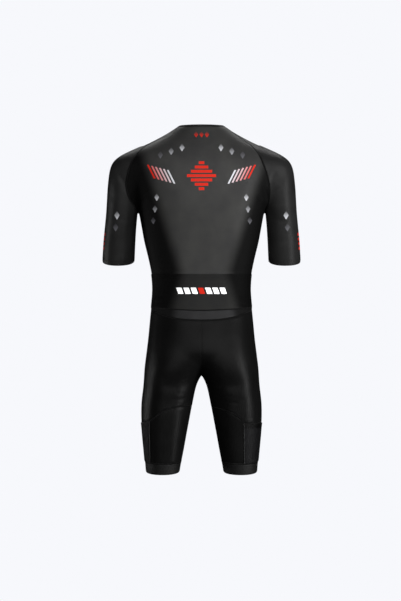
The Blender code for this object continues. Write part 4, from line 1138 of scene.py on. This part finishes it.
def grown(name, lines, tree, sizes, finish):
    """The plain mesh that a tree grows along lines. Each line comes with its ways out of the cloth."""
    points = np.concatenate([line for line, _ in lines])
    ways = np.concatenate([outward for _, outward in lines])
    edges, start = [], 0
    for line, _ in lines:
        edges += [(start + i, start + i + 1) for i in range(len(line) - 1)]
        start += len(line)
    mesh = bpy.data.meshes.new(name + "_lines")
    mesh.from_pydata(points.tolist(), edges, [])
    mesh.attributes.new("out", "FLOAT_VECTOR", "POINT").data.foreach_set("vector", ways.reshape(-1))
    source = bpy.data.objects.new(name + "_lines", mesh)
    bpy.context.scene.collection.objects.link(source)
    modifier = source.modifiers.new("grown", "NODES")
    modifier.node_group = tree
    values = {**sizes, "Finish": finish}
    for item in tree.interface.items_tree:
        if item.name in values:
            modifier[item.identifier] = values[item.name]
    graph = bpy.context.evaluated_depsgraph_get()
    plain = bpy.data.meshes.new_from_object(source.evaluated_get(graph))
    bpy.data.objects.remove(source)
    made = new_object(name, plain, finish)
    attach(made, "suit")


def on_cloth(line, raised=0.0, aside=0.0):
    """A line on the creased cloth with its ways out, raised off it and moved aside across it."""
    line = settle(dressed, line, FINE_ROUNDS)
    if aside:
        line = settle(dressed, line + aside * ways_across(dressed, line), FINE_ROUNDS)
    outward = normals(dressed, line)[0]
    return line + (raised + SEAM_LIFT) * outward, outward


def linear(colour):
    """Linear RGBA of an sRGB hex colour."""
    shares = [int(colour[i : i + 2], 16) / 255 for i in (1, 3, 5)]
    return (*[s / 12.92 if s <= 0.04045 else ((s + 0.055) / 1.055) ** 2.4 for s in shares], 1.0)


def mottled(tree, size, low, high, stretch=(1.0, 1.0, 1.0)):
    """A value that wanders between low and high over patches of a size."""
    place = add(tree, "ShaderNodeTexCoord").outputs["Object"]
    drawn = add(tree, "ShaderNodeMapping", {"Vector": place, "Scale": stretch})
    noise = add(tree, "ShaderNodeTexNoise", {"Vector": drawn, "Scale": 1 / size, "Detail": MOTTLE_DETAIL})
    spread = {"Value": noise, "From Min": MOTTLE_LOW, "From Max": MOTTLE_HIGH, "To Min": low, "To Max": high}
    return add(tree, "ShaderNodeMapRange", spread)


def dyed(name, low, high, patch, roughness, dull_patch):
    """A new material with the colour and roughness of its surface, each wandering over its own patches."""
    made = bpy.data.materials.new(name)
    made.use_nodes = True
    tree = made.node_tree
    tree.nodes.clear()
    shade = {"Factor": mottled(tree, patch, 0, 1), 6: linear(low), 7: linear(high)}
    colour = add(tree, "ShaderNodeMix", shade, data_type="RGBA").outputs[2]
    worn = mottled(tree, dull_patch, roughness - DULLER, roughness + DULLER, (1, 1, DULL_STREAK))
    return made, tree, colour, worn


def surfaced(made, colour, worn, constants, height=None, depth=0.0):
    """The material with its tree ended by a shader, and with a relief of a depth where there is one."""
    tree = made.node_tree
    look = {"Base Color": colour, "Roughness": worn, **constants}
    if depth:
        relief = {"Height": height, "Distance": depth, "Strength": 1.0}
        look["Normal"] = add(tree, "ShaderNodeBump", relief)
    add(tree, "ShaderNodeOutputMaterial", {"Surface": add(tree, "ShaderNodeBsdfPrincipled", look)})
    return made


def loops(tree, wale, course):
    """The height of a knit or a weave, -1 to 1, by its columns and by its rows on the flat cloth."""
    flat = add(tree, "ShaderNodeUVMap", uv_map="cloth")
    turns = (2 * math.pi / wale, 2 * math.pi / course, 0)
    scaled = add(tree, "ShaderNodeVectorMath", {0: flat, 1: turns}, operation="MULTIPLY")
    return add(tree, "ShaderNodeVectorMath", {0: scaled}, operation="SINE")


def ribbed(tree, wale, course, share):
    """The height of a knit or a weave whose rows stand out by a share of what its columns do."""
    mixed = {0: loops(tree, wale, course), 1: (1.0, share, 0.0)}
    return add(tree, "ShaderNodeVectorMath", mixed, operation="DOT_PRODUCT").outputs["Value"]


def inked(tree, ground, place, rows, only):
    """The ground colour with rows of printed shapes over it. Place holds across, 1 and height."""
    for shape, count, *sizes, first, last in rows:
        across, height, step_across, step_height, half_width, half_height, slant, taper = sizes
        along_row = (1 / half_width, -(across + slant * height) / half_width, slant / half_width)
        up = (0, -height / half_height, 1 / half_height)
        step = ((step_across + slant * step_height) / half_width, step_height / half_height, 0)
        u, v = [
            add(tree, "ShaderNodeVectorMath", {0: place, 1: way}, operation="DOT_PRODUCT").outputs["Value"]
            for way in (along_row, up)
        ]
        wide = abs(step[0]) > abs(step[1])
        ratio = {0: u if wide else v, 1: 1 / (step[0] if wide else step[1] or 1), 2: 0.0}
        counted = add(tree, "ShaderNodeMath", ratio, operation="MULTIPLY_ADD")
        whole = add(tree, "ShaderNodeMath", {0: counted}, operation="ROUND")
        number = add(tree, "ShaderNodeClamp", {"Value": whole, "Min": 0.0, "Max": count - 1.0})
        place_in = add(tree, "ShaderNodeCombineXYZ", {0: u, 1: v})
        back = {0: number, 1: (-step[0], -step[1], 0), 2: place_in}
        cell = add(tree, "ShaderNodeVectorMath", back, operation="MULTIPLY_ADD")
        narrow = add(tree, "ShaderNodeMath", {0: number, 1: -taper, 2: 1.0}, operation="MULTIPLY_ADD")
        size = add(tree, "ShaderNodeCombineXYZ", {0: narrow, 1: 1.0, 2: 1.0})
        shared = add(tree, "ShaderNodeVectorMath", {0: cell, 1: size}, operation="DIVIDE")
        far = add(tree, "ShaderNodeVectorMath", {0: shared}, operation="ABSOLUTE")
        x, y, _ = add(tree, "ShaderNodeSeparateXYZ", {0: far}).outputs
        outline = "ADD" if shape == "lozenge" else "MAXIMUM"
        reach = add(tree, "ShaderNodeMath", {0: x, 1: y}, operation=outline)
        inside = add(tree, "ShaderNodeMath", {0: reach, 1: 1.0}, operation="LESS_THAN")
        mask = add(tree, "ShaderNodeMath", {0: inside, 1: only}, operation="MULTIPLY")
        # A lozenge's ink thins out from its foot to nothing at its upper tip
        if shape == "lozenge":
            tip = add(tree, "ShaderNodeSeparateXYZ", {0: shared}).outputs[1]
            thin = add(tree, "ShaderNodeMath", {0: tip, 1: -0.5, 2: 0.5}, operation="MULTIPLY_ADD")
            mask = add(tree, "ShaderNodeMath", {0: mask, 1: thin}, operation="MULTIPLY")
        share = add(tree, "ShaderNodeMath", {0: number, 1: max(count - 1.0, 1.0)}, operation="DIVIDE")
        blend = {"Factor": share, 6: linear(INKS[first]), 7: linear(INKS[last])}
        ink = add(tree, "ShaderNodeMix", blend, data_type="RGBA").outputs[2]
        over = {"Factor": mask, 6: ground, 7: ink}
        ground = add(tree, "ShaderNodeMix", over, data_type="RGBA").outputs[2]
    return ground


def painted_flank_shade(tree, ground, worn, flank_shade):
    """The ground colour with painted shade at the flanks, where it fades to black, and the roughness, which
    grows there too.
    """
    place = add(tree, "ShaderNodeTexCoord").outputs["Object"]
    aside = {0: place, 1: (FADE_ASIDE, 0, FADE_WAIST)}
    aside = add(tree, "ShaderNodeVectorMath", aside, operation="ADD")
    reach = add(tree, "ShaderNodeVectorMath", {0: aside}, operation="ABSOLUTE")
    outward = {0: reach, 1: (1, 0, -FADE_LEAN)}
    outward = add(tree, "ShaderNodeVectorMath", outward, operation="DOT_PRODUCT").outputs["Value"]
    span = {"Value": outward, "From Min": flank_shade[0], "From Max": flank_shade[1]}
    share = add(tree, "ShaderNodeMapRange", span, interpolation_type="SMOOTHSTEP")
    dull = add(tree, "ShaderNodeMath", {0: share, 1: FLANK_DULLER, 2: worn}, operation="MULTIPLY_ADD")
    # Painted shade: the ground goes black towards the flanks
    shade = {"Factor": share, 6: ground, 7: linear(INKS["black"])}
    return add(tree, "ShaderNodeMix", shade, data_type="RGBA").outputs[2], dull


def printed(tree, ground, back, side):
    """The ground colour with shapes printed on the back and on the outer sides of the sleeves."""
    coordinates = add(tree, "ShaderNodeTexCoord").outputs
    x, y, z = add(tree, "ShaderNodeSeparateXYZ", {0: coordinates["Object"]}).outputs
    behind = add(tree, "ShaderNodeCombineXYZ", {0: x, 1: 1.0, 2: z})
    beside = add(tree, "ShaderNodeCombineXYZ", {0: y, 1: 1.0, 2: z})
    facing = add(tree, "ShaderNodeSeparateXYZ", {0: coordinates["Normal"]}).outputs[1]
    to_back = add(tree, "ShaderNodeMath", {0: facing, 1: 0.0}, operation="GREATER_THAN")
    far_out = add(tree, "ShaderNodeMath", {0: x}, operation="ABSOLUTE")
    outer = add(tree, "ShaderNodeMath", {0: far_out, 1: SIDE_PRINT_FROM}, operation="GREATER_THAN")
    ground = inked(tree, ground, behind, back, to_back)
    return inked(tree, ground, beside, side, outer)


# Warp-knit polyamide and elastane, dyed black and calendered: a close satin face whose fine upright
# wales spread the shine of a light into a soft band. Wales are 0.5 mm apart and courses 0.4 mm.
def satin_lycra(name, low, high, roughness, level, back=(), side=(), flank_shade=None):
    made, tree, colour, worn = dyed(name, low, high, SATIN_PATCH, roughness, SATIN_DULL_PATCH)
    # Painted shade at the flanks, where a span for it is given
    if flank_shade:
        colour, worn = painted_flank_shade(tree, colour, worn, flank_shade)
    if back or side:
        colour = printed(tree, colour, back, side)
    height = ribbed(tree, SATIN_WALE, SATIN_COURSE, SATIN_COURSE_SHARE)
    return surfaced(made, colour, worn, {"Specular IOR Level": level}, height, SATIN_RELIEF)


# Open warp-knit mesh of the same yarn: pores 1.2 mm apart, drawn a little coarser than the real 0.9
# so that they show, make it duller than the satin and let it read as dark grey. A bound edge is black.
def mesh_lycra(name, low, high, level, bound, flank_shade=None):
    made, tree, yarn, worn = dyed(name, low, high, MESH_PATCH, MESH_ROUGHNESS, MESH_PATCH)
    # Painted shade at the flanks, where a span for it is given
    if flank_shade:
        yarn, worn = painted_flank_shade(tree, yarn, worn, flank_shade)
    wales, courses, _ = add(tree, "ShaderNodeSeparateXYZ", {0: loops(tree, MESH_PITCH, MESH_PITCH)}).outputs
    pores = add(tree, "ShaderNodeMath", {0: wales, 1: courses}, operation="MULTIPLY")
    hole = add(tree, "ShaderNodeMath", {0: pores, 1: PORE_LEVEL}, operation="GREATER_THAN")
    flat = add(tree, "ShaderNodeUVMap", uv_map="cloth")
    down = add(tree, "ShaderNodeSeparateXYZ", {0: flat}).outputs[1]
    edge = add(tree, "ShaderNodeMath", {0: down, 1: bound}, operation="LESS_THAN")
    dark = add(tree, "ShaderNodeMath", {0: hole, 1: edge}, operation="MAXIMUM")
    shade = {"Factor": dark, 6: yarn, 7: linear(INKS["black"])}
    colour = add(tree, "ShaderNodeMix", shade, data_type="RGBA").outputs[2]
    height = add(tree, "ShaderNodeMath", {0: pores, 1: -1.0}, operation="MULTIPLY")
    return surfaced(made, colour, worn, {"Specular IOR Level": level}, height, MESH_RELIEF)


# Three narrow goods, told apart by their ribs. Woven power elastic on the legs, heat-bonded inside with
# silicone: dull, ribs 1.6 mm apart. Folded polyamide elastic at the neck: matt, a fine cross grain.
# Woven polyester zip tape: dull, a herringbone that shows as a soft grain.
def narrow_textile(name, low, high, patch, roughness, level, rib, relief):
    made, tree, colour, worn = dyed(name, low, high, patch, roughness, patch)
    height = ribbed(tree, rib, rib / 2, WEFT_SHARE)
    return surfaced(made, colour, worn, {"Specular IOR Level": level}, height, relief)


# Textured polyester thread, dyed black: matt, and darker than the cloth, so that it draws each seam.
def sewing_thread(name, low, high, roughness):
    made, _, colour, worn = dyed(name, low, high, THREAD_PATCH, roughness, THREAD_PATCH)
    return surfaced(made, colour, worn, {"Specular IOR Level": THREAD_LEVEL})


# Extruded nylon monofilament, coiled and dyed: smooth, with a crisp small highlight on each turn.
def nylon_coil():
    wear = {"patch": 0.003, "roughness": 0.33, "dull_patch": 0.002}
    made, _, colour, worn = dyed("nylon_coil", "#0B0B0C", "#141416", **wear)
    return surfaced(made, colour, worn, {"IOR": 1.53})


# Die-cast zinc under baked black enamel: satin, with a little orange-peel and greyer patches of wear.
def enamelled_zinc():
    wear = {"patch": 0.003, "roughness": 0.36, "dull_patch": 0.0015}
    made, tree, colour, worn = dyed("enamelled_zinc", "#0E0E10", "#1C1C1F", **wear)
    place = add(tree, "ShaderNodeTexCoord").outputs["Object"]
    peel = {"Vector": place, "Scale": 1 / PEEL_SIZE, "Detail": 1.0}
    peel = add(tree, "ShaderNodeTexNoise", peel)
    enamel = {"Coat Weight": 0.3, "Coat Roughness": 0.25}
    return surfaced(made, colour, worn, enamel, peel, PEEL_RELIEF)


# The finishes
# name, darkest, lightest, roughness, specular level, print and painted flank shade
sleeve_prints = {"back": SLEEVE_PRINT, "side": SLEEVE_SIDE_PRINT}
# The bodice's and the rear pocket's grey grounds are partly the cloth's own tone and partly painted sheen
BODICE = satin_lycra("bodice_lycra", "#212121", "#272726", 0.36, 0.042, BACK_PRINT, flank_shade=FLANK_PAINTED_SHADE)
POCKET = satin_lycra("pocket_lycra", "#131313", "#171716", 0.36, 0.028, POCKET_PRINT, flank_shade=POCKET_PAINTED_SHADE)
SLEEVE = satin_lycra("sleeve_lycra", "#131313", "#181818", 0.42, 0.045, **sleeve_prints)
FRONT = satin_lycra("front_lycra", "#1C1C1C", "#222222", 0.36, 0.07, flank_shade=FLANK_PAINTED_SHADE)
SHORTS = satin_lycra("shorts_lycra", "#060606", "#090909", 0.36, 0.033)
PIPING_FINISH = satin_lycra("satin_piping", "#101010", "#161616", 0.35, 0.5)
# name, darkest, lightest, specular level, how far its bound edge reaches, painted flank shade
YOKE_MESH = mesh_lycra("yoke_mesh_lycra", "#171718", "#1D1D1E", 0.07, 0.0, YOKE_PAINTED_SHADE)
POCKET_MESH = mesh_lycra("pocket_mesh_lycra", "#09090A", "#0D0D0E", 0.04, POCKET_BAND)
# name, darkest, lightest, patch, roughness, specular level, rib, relief
GRIPPER = narrow_textile("gripper_elastic", "#090909", "#0D0D0D", 0.03, 0.5, 0.07, 0.0016, 0.00006)
BINDING = narrow_textile("folded_elastic", "#060606", "#090909", 0.01, 0.6, 0.15, 0.0007, 0.00005)
TAPE = narrow_textile("woven_zip_tape", "#080808", "#0C0C0C", 0.004, 0.7, 0.15, 0.0006, 0.00004)
# name, darkest, lightest, roughness
THREAD_FINISH = sewing_thread("polyester_thread", "#030303", "#070707", 0.6)
SEAT_THREAD = sewing_thread("seat_thread", "#070707", "#0B0B0B", 0.4)
COIL = nylon_coil()
ZINC = enamelled_zinc()

# The cut pieces
left, right = half_suit(1), half_suit(-1)
neck_back, pocket_line, waist_back, yoke_line, neck_edge, neck_foot = [
    joined(left[name][::-1], right[name])
    for name in ("neck_back", "pocket_line", "waist_back", "yoke_line", "neck_top", "neck_foot")
]
upper = patch(neck_back, pocket_line, left["side_back"], right["side_back"])
lower = patch(pocket_line, waist_back, left["side_low"], right["side_low"])
yoke = patch(waist_back, yoke_line, left["yoke_side"], right["yoke_side"])
binding = strip(neck_edge, neck_foot, BINDING_COLUMNS).swapaxes(0, 1)
laid_on = {"lift": SEAM_GAP, "mouth": POCKET_EASE}

cloth("back_bodice", [np.vstack([upper, lower[1:]])], BODICE, "black_lycra")
cloth("rear_pocket", [lower], POCKET, "black_lycra", **laid_on)
cloth("back_yoke", [yoke], YOKE_MESH, "black_mesh_lycra")
cloth("neck_binding", [binding], BINDING, "black_binding", wall=BINDING_WALL)
for word, half in (("left", left), ("right", right)):
    for piece, made_of, slot, more in (
        ("front_bodice", FRONT, "black_lycra", {}),
        ("sleeve", SLEEVE, "black_lycra", {}),
        ("zip_tape", TAPE, "black_zip_tape", {"wall": TAPE_WALL}),
        ("shorts_back", SHORTS, "black_lycra", {}),
        ("shorts_front", SHORTS, "black_lycra", {}),
        ("thigh_panel", SHORTS, "black_lycra", {}),
        ("side_panel", SHORTS, "black_lycra", {}),
        ("side_pocket", POCKET_MESH, "black_mesh_lycra", laid_on),
        ("leg_gripper", GRIPPER, "black_gripper_band", {}),
    ):
        cloth(f"{piece}_{word}", half[piece], made_of, slot, **more)

# The sewing
POCKET_LIFT = SEAM_GAP + WALL
flatlocks = {
    "left": [on_cloth(line) for line in left["flatlock"]],
    "right": [on_cloth(line) for line in right["flatlock"]],
    "back": [on_cloth(waist_back, POCKET_LIFT / 2), on_cloth(yoke_line)],
}
rise = [on_cloth(line) for line in left["rise"]]
cover = [on_cloth(half["sleeve_stitches"]) for half in (left, right)]
cover.append(on_cloth(below(pocket_line, POCKET_BAND), POCKET_LIFT))
single = [on_cloth(below(neck_foot, -TOPSTITCH_IN))]
for half in (left, right):
    single.append(on_cloth(half["zip_edge"], aside=TOPSTITCH_IN * half["zip_way"]))
    single.append(on_cloth(half["pocket_stitches"], POCKET_LIFT))
piping = [on_cloth(half["pocket_edge"], POCKET_LIFT) for half in (left, right)]

threads = {"Pitch": PITCH, "Stitch": STITCH, "Thread": THREAD}
flat_sizes = {**threads, "Gap": FLATLOCK_GAP, "Bed": BED_WIDTH}
cover_sizes = {**threads, "Gap": COVER_GAP}
single_sizes = {**threads, "Gap": 0.0}
flatlock_tree = grower("flatlock_seam", flat_sizes, repeated(covered_rows))
cover_tree = grower("cover_stitch", cover_sizes, repeated(needle_rows))
single_tree = grower("topstitch", single_sizes, repeated(one_row))
piping_tree = grower("piping", ("Radius",), cord)
for word, lines in flatlocks.items():
    grown(f"flatlock_seams_{word}", lines, flatlock_tree, flat_sizes, THREAD_FINISH)
for name, lines, tree, sizes, made_of in (
    ("rise_stitching", rise, cover_tree, cover_sizes, SEAT_THREAD),
    ("cover_stitching", cover, cover_tree, cover_sizes, THREAD_FINISH),
    ("topstitching", single, single_tree, single_sizes, THREAD_FINISH),
    ("pocket_piping", piping, piping_tree, {"Radius": PIPING}, PIPING_FINISH),
):
    grown(name, lines, tree, sizes, made_of)

# The zip's coil, left out under the slider. Its right half stands half a pitch behind the left.
lowest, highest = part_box("zip_slider")
coil_lines = []
for half, lag in ((left, 0.0), (right, 0.5)):
    line = spaced(half["tape_edge"], len(half["tape_edge"]) * 2)
    first = line[1] - line[0]
    line[0] += lag * TOOTH_PITCH * first / np.linalg.norm(first)
    line = spaced(line, len(line))
    for kept in (line[:, 2] > highest[2], line[:, 2] < lowest[2]):
        if kept.sum() > SHORTEST_COIL:
            coil_lines.append(on_cloth(line[kept]))
coil_sizes = {"Pitch": TOOTH_PITCH, "Length": TOOTH_LENGTH, "Width": TOOTH_WIDTH, "Height": TOOTH_HEIGHT}
coil_tree = grower("zip_coil", coil_sizes, repeated(coil_tooth))
grown("zip_coil", coil_lines, coil_tree, coil_sizes, COIL)

for node in ("zip_slider", "zip_pull"):
    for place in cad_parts[node].material_slots:
        place.material = ZINC


def staged(name, profile, one_sided):
    """An even pale surface of the stage, turned round the upright axis from radii and heights.

    It lights nothing and casts no shadow, and if one-sided it is seen from its upper side only.
    """
    points, faces = [], []
    turns = [2 * math.pi * step / STAGE_SIDES for step in range(STAGE_SIDES)]
    for radius, height in profile:
        points += [(radius * math.cos(angle), radius * math.sin(angle), height) for angle in turns]
    for ring in range(len(profile) - 1):
        for step in range(STAGE_SIDES):
            a, b = ring * STAGE_SIDES + step, ring * STAGE_SIDES + (step + 1) % STAGE_SIDES
            faces.append((a, a + STAGE_SIDES, b + STAGE_SIDES, b))
    mesh = bpy.data.meshes.new(name)
    mesh.from_pydata(points, [], faces)
    mesh.shade_smooth()
    glow = bpy.data.materials.new(name)
    glow.use_nodes = True
    tree = glow.node_tree
    tree.nodes.clear()
    lit = add(tree, "ShaderNodeEmission", {"Color": linear(GROUND_COLOUR), "Strength": 1.0})
    if one_sided:
        clear = add(tree, "ShaderNodeBsdfTransparent")
        under = add(tree, "ShaderNodeNewGeometry").outputs["Backfacing"]
        lit = add(tree, "ShaderNodeMixShader", {0: under, 1: lit, 2: clear})
    add(tree, "ShaderNodeOutputMaterial", {"Surface": lit})
    made = new_object(name, mesh, glow)
    made.visible_diffuse = made.visible_glossy = made.visible_transmission = made.visible_shadow = False


arc = [math.radians(degrees) for degrees in range(-90, 91, DOME_STEP)]
dome = [(DOME_RADIUS * math.cos(a) + STAGE_TIP, DOME_RADIUS * math.sin(a)) for a in arc]
staged("backdrop", dome, False)
staged("floor", [(STAGE_TIP, FLOOR_HEIGHT), (DOME_RADIUS * FLOOR_SHARE, FLOOR_HEIGHT)], True)

# Soft boxes that face the middle of the suit, and a faint even fill
scene = bpy.context.scene
for name, place, width, height, power in SOFTBOXES:
    lamp = bpy.data.lights.new(name, "AREA")
    lamp.shape = "RECTANGLE"
    lamp.size, lamp.size_y, lamp.energy = width, height, power
    box = bpy.data.objects.new(name, lamp)
    box.location = place
    box.rotation_euler = (Vector(SUIT_MIDDLE) - Vector(place)).to_track_quat("-Z", "Y").to_euler()
    scene.collection.objects.link(box)
scene.world = bpy.data.worlds.new("studio_fill")
scene.world.use_nodes = True
fill = scene.world.node_tree.nodes["Background"].inputs
fill["Color"].default_value = linear(FILL_COLOUR)
fill["Strength"].default_value = FILL_STRENGTH
scene.view_settings.view_transform = "Standard"

lens = bpy.data.cameras.new("camera")
lens.lens = CAMERA_DISTANCE * lens.sensor_width / PICTURE_HEIGHT
camera = bpy.data.objects.new("camera", lens)
camera.location = (PICTURE_MIDDLE[0], CAMERA_DISTANCE, PICTURE_MIDDLE[1])
camera.rotation_euler = (math.pi / 2, 0, math.pi)
scene.collection.objects.link(camera)
scene.camera = camera
